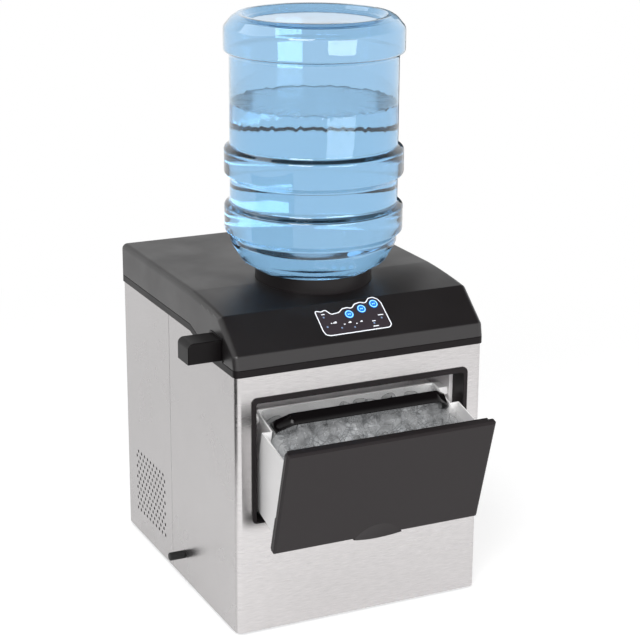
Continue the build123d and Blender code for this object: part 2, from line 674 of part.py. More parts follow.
with BuildPart() as top_cover:
    with BuildSketch(Plane.YZ):
        add(cover_side.sketch)
    extrude(amount=COVER_W / 2, both=True)
    sides = top_cover.faces().filter_by(Axis.X)
    low_edges = top_cover.edges().group_by(Axis.Z)[0]
    fillet([edge for edge in sides.edges() if edge not in low_edges], COVER_EDGE_R)
    with BuildSketch(Plane.YZ):
        add(cover_side.sketch)
        offset(amount=-COVER_WALL, mode=Mode.REPLACE)
    extrude(amount=COVER_W / 2 - COVER_WALL, both=True, mode=Mode.SUBTRACT)
    cut_below_rim(RIM_BAND_H)
    with BuildSketch(level(above(CUP_LOW_H))):
        with Locations((0, BOTTLE_Y)):
            Circle(BOTTLE_SEAT_R + SLIDE_FIT)
    extrude(amount=ROOF_H, mode=Mode.SUBTRACT)
    # Posts that carry the control board, and holes for the button stems and lamps
    with BuildSketch(SLOPE.offset(-BOARD_DROP)):
        with Locations((0, BOARD_UP)):
            with GridLocations(BOARD_W - 4 * POST_R, BOARD_H - 4 * POST_R, 2, 2):
                Circle(POST_R)
    extrude(amount=BOARD_DROP - COVER_WALL / 2)
    with BuildSketch(SLOPE):
        with Locations(*zip(BUTTON_X, BUTTON_UP)):
            Circle(BUTTON_STEM_R + BUTTON_FIT)
        with Locations(*LAMP_SPOTS):
            Circle(LAMP_R + FIT)
    extrude(amount=-2 * COVER_WALL, mode=Mode.SUBTRACT)
    # Way for the water hose to the spout
    with BuildSketch(facing_right(-COVER_W / 2)):
        with Locations((SPOUT_Y, SPOUT_Z)):
            Circle(HOSE_R + FIT)
    extrude(amount=2 * COVER_WALL, mode=Mode.SUBTRACT)
finish(top_cover, "top_cover")

# Shadow groove round the top of the rim, under the cover's lower edge
with BuildPart() as rim_groove:
    with BuildSketch(level(above(RIM_LOW_H))):
        Rectangle(COVER_W + GROOVE_DEPTH, COVER_D + GROOVE_DEPTH)
        RectangleRounded(COVER_W - 2 * GROOVE_DEPTH, COVER_D - 2 * GROOVE_DEPTH, COVER_EDGE_R - GROOVE_DEPTH,
                         mode=Mode.SUBTRACT)
    extrude(amount=RIM_STEP + 2 * RIM_BAND_H)
    cut_below_rim(RIM_BAND_H - GROOVE_W)

with BuildPart() as cover_rim:
    with BuildSketch(level(above(RIM_LOW_H))):
        RectangleRounded(COVER_W, COVER_D, COVER_EDGE_R)
        RectangleRounded(COVER_W - 2 * COVER_WALL, COVER_D - 2 * COVER_WALL, COVER_EDGE_R - COVER_WALL,
                         mode=Mode.SUBTRACT)
    extrude(amount=RIM_HIGH_H - RIM_LOW_H + RIM_BAND_H)
    cut_below_rim(SHEET_LAP_H)
    with BuildSketch(level(above(RIM_LOW_H))):
        RectangleRounded(COVER_W, COVER_D, COVER_EDGE_R)
        RectangleRounded(HOUSING_W + 2 * FIT, HOUSING_D + 2 * FIT, SHEET_CORNER_R + FIT, mode=Mode.SUBTRACT)
    extrude(amount=RIM_HIGH_H - RIM_LOW_H + RIM_BAND_H)
    cut_below_rim(0)
    cut_above_rim(RIM_BAND_H)
    add(rim_groove.part, mode=Mode.SUBTRACT)
finish(cover_rim, "cover_rim")

# Bezel: a flange on the front sheet and a tunnel back to the cavity
BEZEL_MID_H = (BEZEL_LOW_H + BEZEL_HIGH_H) / 2
TUNNEL_MID_H = (LIP_LOW_H + TUNNEL_HIGH_H) / 2
TUNNEL_H = TUNNEL_HIGH_H - LIP_LOW_H
TUNNEL_CORNER_R = BEZEL_CORNER_R / 2
LIP_CORNER_R = TUNNEL_CORNER_R - 1

with BuildPart() as drawer_bezel:
    with BuildSketch(facing_front(FRONT_Y)):
        with Locations((0, above(BEZEL_MID_H))):
            RectangleRounded(2 * BEZEL_HALF_W, BEZEL_HIGH_H - BEZEL_LOW_H, BEZEL_CORNER_R)
    extrude(amount=BEZEL_T)
    chamfer(drawer_bezel.faces().sort_by(Axis.Y)[0].edges(), BEZEL_T / 3)
    with BuildSketch(facing_front(FRONT_Y)):
        with Locations((0, above(TUNNEL_MID_H))):
            RectangleRounded(2 * TUNNEL_HALF_W + 2 * TUNNEL_WALL, TUNNEL_H + 2 * TUNNEL_WALL,
                             TUNNEL_CORNER_R + TUNNEL_WALL)
    extrude(amount=-TUNNEL_DEPTH)
    with BuildSketch(facing_front(FRONT_Y)):
        with Locations((0, above(TUNNEL_MID_H))):
            RectangleRounded(2 * TUNNEL_HALF_W, TUNNEL_H, TUNNEL_CORNER_R)
    extrude(amount=-TUNNEL_DEPTH, mode=Mode.SUBTRACT)
    with BuildSketch(facing_front(FRONT_Y - BEZEL_T)):
        with Locations((0, above((LIP_LOW_H + LIP_HIGH_H) / 2))):
            RectangleRounded(2 * LIP_HALF_W, LIP_HIGH_H - LIP_LOW_H, LIP_CORNER_R)
    extrude(amount=-BEZEL_T, mode=Mode.SUBTRACT)
finish(drawer_bezel, "drawer_bezel")

# Cavity liner, open to the front, with slots for the shoes and an ice opening at the back
HINGE_Y = behind(HINGE_BEHIND)
HINGE_Z = above(HINGE_H)
LINER_FRONT_Y = behind(TUNNEL_DEPTH)
LINER_BACK_Y = behind(CAVITY_BACK_BEHIND) + LINER_WALL
CAVITY_H = CAVITY_HIGH_H - CAVITY_LOW_H
CAVITY_MID_H = (CAVITY_HIGH_H + CAVITY_LOW_H) / 2
SHOE_FRONT_Y = HINGE_Y - SHOE_FRONT
RAIL_FRONT_Y = LINER_FRONT_Y + LINER_WALL
RAIL_BACK_Y = SHOE_FRONT_Y + SHOE_L + DRAWER_TRAVEL + SLIDE_FIT + RAIL_WALL
SHOE_SLOT_H = SHOE_NECK_H + 2 * SLIDE_FIT

with BuildPart() as cavity_liner:
    with BuildSketch(facing_front(LINER_FRONT_Y)):
        with Locations((0, above(CAVITY_MID_H))):
            Rectangle(2 * CAVITY_HALF_W + 2 * LINER_WALL, CAVITY_H + 2 * LINER_WALL)
    extrude(amount=LINER_FRONT_Y - LINER_BACK_Y)
    with BuildSketch(facing_front(LINER_FRONT_Y)):
        with Locations((0, above(CAVITY_MID_H))):
            Rectangle(2 * CAVITY_HALF_W + 2 * LINER_LIP, CAVITY_H + 2 * LINER_LIP)
    extrude(amount=-LINER_WALL)
    with BuildSketch(facing_front(LINER_FRONT_Y)):
        with Locations((0, above(CAVITY_MID_H))):
            Rectangle(2 * CAVITY_HALF_W, CAVITY_H)
    extrude(amount=LINER_FRONT_Y - LINER_BACK_Y + LINER_WALL, mode=Mode.SUBTRACT)
    with BuildSketch(facing_right(0)):
        with Locations(((SHOE_FRONT_Y + RAIL_BACK_Y - RAIL_WALL - SLIDE_FIT) / 2, HINGE_Z)):
            Rectangle(RAIL_BACK_Y - RAIL_WALL - SHOE_FRONT_Y + SLIDE_FIT, SHOE_SLOT_H)
    extrude(amount=CAVITY_HALF_W + LINER_WALL, both=True, mode=Mode.SUBTRACT)
    with BuildSketch(facing_front(LINER_BACK_Y)):
        with Locations((0, above(ICE_WAY_LOW_H + ICE_WAY_H / 2))):
            Rectangle(2 * ICE_WAY_HALF_W, ICE_WAY_H)
    extrude(amount=2 * LINER_WALL, mode=Mode.SUBTRACT)
finish(cavity_liner, "cavity_liner")

# Side rails behind the liner's slots, and the shoes that run in them
RAIL_X = CAVITY_HALF_W + LINER_WALL
RAIL_SLOT_H = SHOE_H + 2 * SLIDE_FIT
SHOE_FOOT_X = RAIL_X + SLIDE_FIT
SHOE_OUTER_X = RAIL_X + RAIL_DEPTH - SLIDE_FIT

for side, name in ((-1, "left"), (1, "right")):
    with BuildPart() as guide_rail:
        with BuildSketch(facing_right(side * RAIL_X)):
            with Locations(((RAIL_FRONT_Y + RAIL_BACK_Y) / 2, HINGE_Z)):
                Rectangle(RAIL_BACK_Y - RAIL_FRONT_Y, RAIL_SLOT_H + 2 * RAIL_WALL)
        extrude(amount=side * (RAIL_DEPTH + RAIL_WALL))
        with BuildSketch(facing_right(side * RAIL_X)):
            with Locations(((SHOE_FRONT_Y - SLIDE_FIT + RAIL_BACK_Y - RAIL_WALL) / 2, HINGE_Z)):
                Rectangle(RAIL_BACK_Y - RAIL_WALL - SHOE_FRONT_Y + SLIDE_FIT, RAIL_SLOT_H)
        extrude(amount=side * RAIL_DEPTH, mode=Mode.SUBTRACT)
    finish(guide_rail, f"guide_rail_{name}")

    with BuildPart() as shoe:
        with BuildSketch(facing_front(SHOE_FRONT_Y)):
            block = CAVITY_HALF_W - SLIDE_FIT - SHOE_INNER_X
            with Locations((side * (SHOE_INNER_X + block / 2), HINGE_Z)):
                Rectangle(block, SHOE_H)
            with Locations((side * (SHOE_INNER_X + SHOE_OUTER_X) / 2, HINGE_Z)):
                Rectangle(SHOE_OUTER_X - SHOE_INNER_X, SHOE_NECK_H)
            with Locations((side * (SHOE_FOOT_X + SHOE_OUTER_X) / 2, HINGE_Z)):
                Rectangle(SHOE_OUTER_X - SHOE_FOOT_X, SHOE_H)
        extrude(amount=-SHOE_L)
        with BuildSketch(facing_right(side * SHOE_INNER_X)):
            with Locations((HINGE_Y, HINGE_Z)):
                Circle(HINGE_PIN_R + RUN_FIT)
        extrude(amount=side * (block - LINER_WALL), mode=Mode.SUBTRACT)
    finish(shoe, f"slide_shoe_{name}")

# Pins that hang the drawer on its shoes
PIN_INNER_X = BIN_BACK_HALF_W - BIN_WALL + SLIDE_FIT
PIN_OUTER_X = CAVITY_HALF_W - SLIDE_FIT - LINER_WALL - SLIDE_FIT

with BuildPart() as hinge_pins:
    for side in (-1, 1):
        with BuildSketch(facing_right(side * PIN_INNER_X)):
            with Locations((HINGE_Y, HINGE_Z)):
                Circle(HINGE_PIN_R)
        extrude(amount=side * (PIN_OUTER_X - PIN_INNER_X))
finish(hinge_pins, "hinge_pins")

# Planes of the drawer: level with its floor, on the panel's face, and along its side
DRAWER_LEVEL = Plane((0, behind(PANEL_FOOT_BEHIND), above(PANEL_FOOT_H))).rotated((DRAWER_TILT, 0, 0))
DRAWER_FACE = Plane(DRAWER_LEVEL.origin, x_dir=(1, 0, 0), z_dir=-DRAWER_LEVEL.y_dir)
DRAWER_SIDE = Plane(DRAWER_LEVEL.origin, x_dir=DRAWER_LEVEL.y_dir, z_dir=(1, 0, 0))
INTO_DRAWER = Axis(DRAWER_LEVEL.origin, DRAWER_LEVEL.y_dir)
BIN_SCREW_SPOTS = [(side * BIN_SCREW_X, up) for side in (-1, 1) for up in BIN_SCREW_UP]
PANEL_BACK = DRAWER_FACE.offset(-PANEL_T)

# The finger scoop is a shallow dish whose rim passes through the scoop's corners and top
DISH_R = (SCOOP_HALF_W**2 + SCOOP_RISE**2) / (2 * SCOOP_RISE)
BALL_R = (DISH_R**2 + SCOOP_DEPTH**2) / (2 * SCOOP_DEPTH)

with BuildPart() as drawer_panel:
    with BuildSketch(DRAWER_FACE):
        with Locations((0, PANEL_H / 2)):
            RectangleRounded(PANEL_W, PANEL_H, PANEL_BEVEL)
    extrude(amount=-PANEL_T)
    chamfer(drawer_panel.faces().sort_by(INTO_DRAWER)[0].edges(), PANEL_BEVEL)
    with BuildSketch(PANEL_BACK):
        with Locations((0, (PANEL_LIP_LOW + PANEL_LIP_HIGH) / 2)):
            Rectangle(PANEL_LIP_W, PANEL_LIP_HIGH - PANEL_LIP_LOW)
    extrude(amount=-PANEL_LIP_T)
    with BuildSketch(PANEL_BACK):
        with Locations((0, PANEL_EAR_H / 2 + PANEL_BEVEL)):
            with GridLocations(PANEL_W - PANEL_EAR_W - 2 * PANEL_EAR_INSET, 1, 2, 1):
                Rectangle(PANEL_EAR_W, PANEL_EAR_H)
    extrude(amount=-PANEL_EAR_T)
    with BuildSketch(DRAWER_FACE):
        with BuildLine():
            ThreePointArc((-SCOOP_HALF_W, 0), (0, -SCOOP_LIP_DROP), (SCOOP_HALF_W, 0))
            ThreePointArc((SCOOP_HALF_W, 0), (0, SCOOP_RISE), (-SCOOP_HALF_W, 0))
        make_face()
    extrude(amount=-SCOOP_LIP_T)
    with Locations(DRAWER_FACE.from_local_coords(Vector(0, SCOOP_RISE - DISH_R, BALL_R - SCOOP_DEPTH))):
        Sphere(BALL_R, mode=Mode.SUBTRACT)
    with BuildSketch(PANEL_BACK):
        with Locations(*BIN_SCREW_SPOTS):
            Circle(SCREW_R + RUN_FIT)
    extrude(amount=SCREW_BITE + FIT, mode=Mode.SUBTRACT)
finish(drawer_panel, "drawer_panel")

with BuildSketch() as bin_outline:
    with Locations((0, (PANEL_T + BIN_STEP_BACK) / 2)):
        Rectangle(2 * BIN_HALF_W, BIN_STEP_BACK - PANEL_T)
    with Locations((0, (PANEL_T + BIN_BACK) / 2)):
        Rectangle(2 * BIN_BACK_HALF_W, BIN_BACK - PANEL_T)
    fillet(bin_outline.vertices().group_by(Axis.Y)[-1], 2 * BIN_WALL)

with BuildPart() as drawer_bin:
    with BuildSketch(DRAWER_LEVEL.offset(BIN_FLOOR)):
        add(bin_outline.sketch)
    extrude(amount=BIN_RIM_FRONT - BIN_FLOOR)
    with BuildSketch(DRAWER_LEVEL.offset(BIN_FLOOR + BIN_FLOOR_T)):
        add(bin_outline.sketch)
        offset(amount=-BIN_WALL, mode=Mode.REPLACE)
    extrude(amount=BIN_RIM_FRONT, mode=Mode.SUBTRACT)
    with BuildSketch(DRAWER_SIDE):
        with BuildLine():
            Polyline((PANEL_T, BIN_RIM_FRONT), (BIN_STEP_BACK, BIN_RIM_BACK), (2 * BIN_BACK, BIN_RIM_BACK),
                     (2 * BIN_BACK, 2 * BIN_RIM_FRONT), (PANEL_T, 2 * BIN_RIM_FRONT), close=True)
        make_face()
    extrude(amount=BIN_HALF_W, both=True, mode=Mode.SUBTRACT)
    for side in (-1, 1):
        with BuildSketch(facing_right(side * BIN_BACK_HALF_W)):
            with Locations((HINGE_Y, HINGE_Z)):
                Circle(HINGE_BOSS_R)
        extrude(amount=side * HINGE_BOSS_T)
    with BuildSketch(facing_right(0)):
        with Locations((HINGE_Y, HINGE_Z)):
            Circle(HINGE_PIN_R + RUN_FIT)
    extrude(amount=SHOE_INNER_X, both=True, mode=Mode.SUBTRACT)
    with BuildSketch(PANEL_BACK):
        with Locations(*BIN_SCREW_SPOTS):
            Circle(SCREW_R + RUN_FIT)
    extrude(amount=-2 * BIN_WALL, mode=Mode.SUBTRACT)
finish(drawer_bin, "drawer_bin")

with BuildPart() as bin_screws:
    with BuildSketch(PANEL_BACK.offset(-BIN_WALL)):
        with Locations(*BIN_SCREW_SPOTS):
            Circle(SCREW_HEAD_R)
    extrude(amount=-SCREW_HEAD_H)
    with BuildSketch(PANEL_BACK.offset(-BIN_WALL)):
        with Locations(*BIN_SCREW_SPOTS):
            Circle(SCREW_R)
    extrude(amount=BIN_WALL + SCREW_BITE)
finish(bin_screws, "bin_screws")

# Ice basket: stands on the bin's floor, inside the narrow half's walls and behind the screws
BASKET_HALF_W = BIN_BACK_HALF_W - BIN_WALL - BASKET_GAP
BASKET_FRONT = PANEL_T + PANEL_LIP_T + BASKET_GAP
BASKET_BACK = BIN_BACK - BIN_WALL - BASKET_GAP
BASKET_D = BASKET_BACK - BASKET_FRONT
BASKET_MID = (BASKET_BACK + BASKET_FRONT) / 2
BASKET_FLOOR = BIN_FLOOR + BIN_FLOOR_T + BASKET_LIFT
BASKET_H = BIN_RIM_BACK - BASKET_FLOOR
PIVOT = DRAWER_SIDE.from_local_coords(Vector(HANDLE_PIVOT_BACK, HANDLE_PIVOT_UP, 0))

with BuildPart() as ice_basket:
    with BuildSketch(DRAWER_LEVEL.offset(BASKET_FLOOR)):
        with Locations((0, BASKET_MID)):
            RectangleRounded(2 * BASKET_HALF_W, BASKET_D, BASKET_CORNER_R)
    extrude(amount=BASKET_H)
    with BuildSketch(DRAWER_LEVEL.offset(BASKET_FLOOR + BASKET_FLOOR_T)):
        with Locations((0, BASKET_MID)):
            RectangleRounded(2 * BASKET_HALF_W - 2 * BASKET_WALL, BASKET_D - 2 * BASKET_WALL,
                             BASKET_CORNER_R - BASKET_WALL)
    extrude(amount=BASKET_H, mode=Mode.SUBTRACT)
    with BuildSketch(DRAWER_LEVEL.offset(BASKET_FLOOR)):
        with Locations((0, BASKET_MID)):
            with GridLocations(BASKET_SLOT_L * 1.5, BASKET_SLOT_PITCH, 2, BASKET_SLOTS):
                Rectangle(BASKET_SLOT_L, BASKET_SLOT_W)
    extrude(amount=BASKET_FLOOR_T, mode=Mode.SUBTRACT)
    for side in (-1, 1):
        with BuildSketch(facing_right(side * (BASKET_HALF_W - BASKET_WALL))):
            with Locations((PIVOT.Y, PIVOT.Z)):
                Circle(HANDLE_STUD_R)
        extrude(amount=-side * HANDLE_STUD_L)
finish(ice_basket, "ice_basket")

# Handle: a strap across the basket, drawn in its own plane and turned forward on its studs
HANDLE_PLANE = Plane(PIVOT, x_dir=(1, 0, 0), z_dir=-DRAWER_LEVEL.y_dir).rotated((HANDLE_LEAN, 0, 0))
HANDLE_HALF_W = BASKET_HALF_W - BASKET_WALL - SLIDE_FIT
HANDLE_BAR_HALF_W = HANDLE_HALF_W - HANDLE_SHOULDER_W
HANDLE_PATH = (
    (-HANDLE_HALF_W, 0),
    (-HANDLE_HALF_W, HANDLE_ARM_L),
    (-HANDLE_BAR_HALF_W, HANDLE_REACH),
    (HANDLE_BAR_HALF_W, HANDLE_REACH),
    (HANDLE_HALF_W, HANDLE_ARM_L),
    (HANDLE_HALF_W, 0),
)

with BuildPart() as basket_handle:
    with BuildSketch(HANDLE_PLANE):
        Polygon(*HANDLE_PATH, align=None)
        offset(amount=-HANDLE_STRAP_T, mode=Mode.SUBTRACT)
        Rectangle(2 * HANDLE_HALF_W - 2 * HANDLE_STRAP_T, 2 * HANDLE_STRAP_T, mode=Mode.SUBTRACT)
    extrude(amount=HANDLE_STRAP_W / 2, both=True)
    for side in (-1, 1):
        with BuildSketch(facing_right(side * HANDLE_HALF_W)):
            with Locations((PIVOT.Y, PIVOT.Z)):
                Circle(HANDLE_EYE_R)
        extrude(amount=-side * HANDLE_STRAP_T)
    with BuildSketch(facing_right(0)):
        with Locations((PIVOT.Y, PIVOT.Z)):
            Circle(HANDLE_STUD_R + RUN_FIT)
    extrude(amount=BASKET_HALF_W, both=True, mode=Mode.SUBTRACT)
finish(basket_handle, "basket_handle")

# Bottle: half profile from the neck's end up to the recessed base, turned about its axis
BOTTLE_AXIS = Axis((0, BOTTLE_Y, 0), (0, 0, 1))


def ridge(low, width, radius):
    """Corners in radius and height of a raised band on the bottle."""
    return (
        (BOTTLE_BODY_R, above(low - BOTTLE_RIDGE_FLANK)),
        (radius, above(low)),
        (radius, above(low + width)),
        (BOTTLE_BODY_R, above(low + width + BOTTLE_RIDGE_FLANK)),
    )


BOTTLE_HALF = (
    (NECK_R, above(NECK_TOP_H - NECK_L)),
    (NECK_R, above(NECK_TOP_H)),
    (BOTTLE_SEAT_IN_R, above(BOTTLE_SEAT_IN_H)),
    (BOTTLE_SEAT_R, above(BOTTLE_SEAT_H)),
    (BOTTLE_SHOULDER_MID_R, above(BOTTLE_SHOULDER_MID_H)),
    (BOTTLE_BODY_R, above(BOTTLE_SHOULDER_TOP_H)),
    *ridge(BOTTLE_RIDGE_LOW_H, BOTTLE_RIDGE_W, BOTTLE_RIDGE_R),
    *ridge(BOTTLE_RIDGE_HIGH_H, BOTTLE_RIDGE_W, BOTTLE_RIDGE_R),
    *ridge(BOTTLE_CHIME_H, BOTTLE_CHIME_W, BOTTLE_CHIME_R)[:3],
    (BOTTLE_BASE_R, above(BOTTLE_BASE_H)),
    (BOTTLE_RIM_R, above(BOTTLE_RIM_H)),
    (BOTTLE_RIM_IN_R, above(BOTTLE_RIM_H)),
    (BOTTLE_DISH_R, above(BOTTLE_DISH_H)),
)

with BuildSketch() as bottle_side:
    with BuildLine():
        Polyline(*BOTTLE_HALF, *[(-x, z) for x, z in reversed(BOTTLE_HALF)], close=True)
    make_face()
    shoulders = [(x * side, z) for x, z in BOTTLE_HALF[3:6] + BOTTLE_HALF[17:19] for side in (-1, 1)]
    fillet([bottle_side.vertices().sort_by_distance(corner)[0] for corner in shoulders], BOTTLE_CORNER_R)

with BuildSketch() as bottle_bore:
    add(bottle_side.sketch)
    offset(amount=-BOTTLE_WALL, kind=Kind.INTERSECTION, mode=Mode.REPLACE)
    with Locations((0, above(NECK_TOP_H - NECK_L))):
        Rectangle(2 * (NECK_R - BOTTLE_WALL), 4 * BOTTLE_WALL)

with BuildPart() as water_bottle:
    with BuildSketch(facing_front(BOTTLE_Y)):
        add(bottle_side.sketch)
        add(bottle_bore.sketch, mode=Mode.SUBTRACT)
        with Locations((-BOTTLE_RIDGE_R, above(BOTTLE_BODY_R + BOTTLE_SEAT_H))):
            Rectangle(2 * BOTTLE_RIDGE_R, 2 * BOTTLE_RIM_H, mode=Mode.SUBTRACT)
    revolve(axis=BOTTLE_AXIS)
finish(water_bottle, "water_bottle")

NECK_LOW_Z = above(NECK_TOP_H - NECK_L)

with BuildPart() as bottle_cap:
    with BuildSketch(level(NECK_LOW_Z - CAP_WALL)):
        with Locations((0, BOTTLE_Y)):
            Circle(CAP_R)
            Circle(VALVE_R, mode=Mode.SUBTRACT)
    extrude(amount=CAP_L)
    with BuildSketch(level(NECK_LOW_Z)):
        with Locations((0, BOTTLE_Y)):
            Circle(NECK_R + RUN_FIT)
    extrude(amount=CAP_L, mode=Mode.SUBTRACT)
finish(bottle_cap, "bottle_cap")

# Collar under the bottle's shoulder, with a flange below the roof
with BuildPart() as bottle_collar:
    with BuildSketch(facing_front(BOTTLE_Y)):
        Polygon(
            (COLLAR_HOLE_R, above(COLLAR_LOW_H)),
            (COLLAR_FLANGE_R, above(COLLAR_LOW_H)),
            (COLLAR_FLANGE_R, above(COLLAR_LOW_H + COLLAR_FLANGE_T)),
            (BOTTLE_SEAT_R, above(COLLAR_LOW_H + COLLAR_FLANGE_T)),
            (BOTTLE_SEAT_R, above(BOTTLE_SEAT_H - SLIDE_FIT)),
            (BOTTLE_SEAT_IN_R, above(BOTTLE_SEAT_IN_H - SLIDE_FIT)),
            (COLLAR_HOLE_R, above(BOTTLE_SEAT_IN_H - COLLAR_TOP_DROP)),
            align=None,
        )
    revolve(axis=BOTTLE_AXIS)
finish(bottle_collar, "bottle_collar")

# Cup that receives the neck, with one side outlet to the tank and one to the spout
CUP_FLANGE_Z = above(COLLAR_LOW_H) - FIT - CUP_WALL
FILL_Z = above(FILL_OUTLET_H)
SPOUT_HOSE_END_Y = BOTTLE_Y - (CUP_R**2 - (SPOUT_HOSE_X - HOSE_R) ** 2) ** 0.5

with BuildPart() as reservoir_cup:
    with BuildSketch(level(above(CUP_LOW_H))):
        with Locations((0, BOTTLE_Y)):
            Circle(CUP_R)
    extrude(amount=CUP_FLANGE_Z + CUP_WALL - above(CUP_LOW_H))
    with BuildSketch(level(CUP_FLANGE_Z)):
        with Locations((0, BOTTLE_Y)):
            Circle(CUP_R + CUP_FLANGE)
    extrude(amount=CUP_WALL)
    with BuildSketch(level(above(CUP_LOW_H) + CUP_WALL)):
        with Locations((0, BOTTLE_Y)):
            Circle(CUP_R - CUP_WALL)
    extrude(amount=ROOF_H, mode=Mode.SUBTRACT)
    with BuildSketch(facing_right(-CUP_R - FIT)):
        with Locations((BOTTLE_Y, FILL_Z)):
            Circle(HOSE_BORE_R)
    extrude(amount=CUP_R, mode=Mode.SUBTRACT)
    with BuildSketch(facing_front(BOTTLE_Y - CUP_R)):
        with Locations((-SPOUT_HOSE_X, SPOUT_Z)):
            Circle(HOSE_BORE_R)
    extrude(amount=-CUP_R / 2, mode=Mode.SUBTRACT)
finish(reservoir_cup, "reservoir_cup")

with BuildPart() as bottle_probe:
    with BuildSketch(level(above(CUP_LOW_H) + CUP_WALL)):
        with Locations((0, BOTTLE_Y)):
            Circle(PROBE_R)
            Circle(PROBE_R - PROBE_WALL, mode=Mode.SUBTRACT)
    extrude(amount=PROBE_L)
    with BuildSketch(level(above(CUP_LOW_H) + CUP_WALL)):
        with Locations((0, BOTTLE_Y)):
            Rectangle(3 * PROBE_R, PROBE_R)
    extrude(amount=PROBE_PORT_H, mode=Mode.SUBTRACT)
finish(bottle_probe, "bottle_probe")


def swept_tube(path, start, radius, bore=None):
    """Tube, or rod if it has no bore, along a path that leaves its first point on plane start."""
    with BuildSketch(start) as section:
        Circle(radius)
        if bore:
            Circle(bore, mode=Mode.SUBTRACT)
    sweep(section.sketch, path=path)


FILL_START = (-CUP_R - FIT, BOTTLE_Y, FILL_Z)
FILL_TURN = (-FILL_X, BOTTLE_Y, FILL_Z)
FILL_BACK = (-FILL_X, behind(FILL_BEHIND), FILL_Z)
FILL_END = (-FILL_X, behind(FILL_BEHIND), above(TANK_HIGH_H - FILL_DIP))

with BuildPart() as fill_hose:
    with BuildLine() as fill_path:
        FilletPolyline(FILL_START, FILL_TURN, FILL_BACK, FILL_END, radius=HOSE_BEND_R)
    swept_tube(fill_path.line, Plane(FILL_START, z_dir=(-1, 0, 0)), HOSE_R, HOSE_BORE_R)
finish(fill_hose, "fill_hose")

SPOUT_START_X = -COVER_W / 2 - FIT
SPOUT_HOSE_START = (SPOUT_START_X, SPOUT_Y, SPOUT_Z)

with BuildPart() as dispense_hose:
    with BuildLine() as dispense_path:
        FilletPolyline(
            SPOUT_HOSE_START,
            (-SPOUT_HOSE_X, SPOUT_Y, SPOUT_Z),
            (-SPOUT_HOSE_X, SPOUT_HOSE_END_Y - FIT, SPOUT_Z),
            radius=HOSE_BEND_R,
        )
    swept_tube(dispense_path.line, Plane(SPOUT_HOSE_START, z_dir=(1, 0, 0)), HOSE_R, HOSE_BORE_R)
finish(dispense_hose, "dispense_hose")

with BuildPart() as dispense_valve:
    with BuildSketch(facing_right(-VALVE_X)):
        with Locations((SPOUT_Y, SPOUT_Z)):
            Rectangle(VALVE_W, VALVE_W)
            Circle(HOSE_R + FIT, mode=Mode.SUBTRACT)
    extrude(amount=VALVE_L)
    with BuildSketch(level(SPOUT_Z + VALVE_W / 2)):
        with Locations((-VALVE_X + VALVE_L / 2, SPOUT_Y)):
            Circle(VALVE_W / 3)
    extrude(amount=VALVE_COIL_H)
finish(dispense_valve, "dispense_valve")

# Spout: a plate on the cover's side, a hollow arm with a rounded nose and a nozzle below its end
PLATE_X = -COVER_W / 2 - FIT
ARM_X = PLATE_X - SPOUT_PLATE_T
NOSE_X = -COVER_W / 2 - SPOUT_REACH
NOZZLE_X = NOSE_X + NOZZLE_FROM_END

with BuildPart() as spout_plate:
    with BuildSketch(facing_right(PLATE_X)):
        with Locations((SPOUT_Y, SPOUT_Z)):
            RectangleRounded(SPOUT_W + 2 * SPOUT_PLATE_MARGIN, SPOUT_H + 2 * SPOUT_PLATE_MARGIN,
                             SPOUT_PLATE_MARGIN)
            Circle(HOSE_R + FIT, mode=Mode.SUBTRACT)
    extrude(amount=-SPOUT_PLATE_T)
finish(spout_plate, "spout_plate")

with BuildPart() as spout_housing:
    with BuildSketch(facing_right(ARM_X)):
        with Locations((SPOUT_Y, SPOUT_Z)):
            Rectangle(SPOUT_W, SPOUT_H)
    extrude(amount=NOSE_X - ARM_X)
    fillet(spout_housing.edges().filter_by(Axis.Y).sort_by(Axis.X)[:2].sort_by(Axis.Z)[-1:], SPOUT_NOSE_R)
    fillet(spout_housing.edges().filter_by(Axis.X), SPOUT_EDGE_R)
    with BuildSketch(facing_right(ARM_X)):
        with Locations((SPOUT_Y, SPOUT_Z)):
            Rectangle(SPOUT_W - 2 * SPOUT_WALL, SPOUT_H - 2 * SPOUT_WALL)
    extrude(amount=NOSE_X - ARM_X + SPOUT_NOSE_R - SPOUT_WALL, mode=Mode.SUBTRACT)
    with BuildSketch(level(above(SPOUT_LOW_H))):
        with Locations((NOZZLE_X, SPOUT_Y)):
            Circle(NOZZLE_R + RUN_FIT)
    extrude(amount=SPOUT_WALL, mode=Mode.SUBTRACT)
finish(spout_housing, "spout_housing")

with BuildPart() as spout_nozzle:
    with BuildSketch(level(above(SPOUT_LOW_H) - NOZZLE_PROUD)):
        with Locations((NOZZLE_X, SPOUT_Y)):
            Circle(NOZZLE_R)
            Circle(NOZZLE_BORE_R, mode=Mode.SUBTRACT)
    extrude(amount=NOZZLE_PROUD + NOZZLE_SINK)
finish(spout_nozzle, "spout_nozzle")

# Controls on the slope: overlay, push buttons, lamps and the board behind them
OVERLAY_OUTLINE = (
    (-51, 52.9), (-42.2, 49.9), (-35.7, 52.6), (-29.7, 44.3), (-17.9, 45.7), (-11, 50.8), (-3.3, 51.6),
    (2.7, 49.4), (8.4, 55.4), (17, 57.3), (25.2, 54.9), (31.2, 61.6), (37.8, 62.5), (44.1, 59.1), (47.3, 52.4),
    (49.8, 17.1), (45.9, 12.8), (-41.4, 12), (-47.4, 14), (-49.6, 19.9),
)

with BuildPart() as control_overlay:
    with BuildSketch(SLOPE.offset(RUN_FIT)):
        Polygon(*OVERLAY_OUTLINE, align=None)
        with Locations(*zip(BUTTON_X, BUTTON_UP)):
            Circle(BUTTON_R + BUTTON_FIT, mode=Mode.SUBTRACT)
        with Locations(*LAMP_SPOTS):
            Circle(LAMP_R + FIT, mode=Mode.SUBTRACT)
    extrude(amount=OVERLAY_T)
finish(control_overlay, "control_overlay")

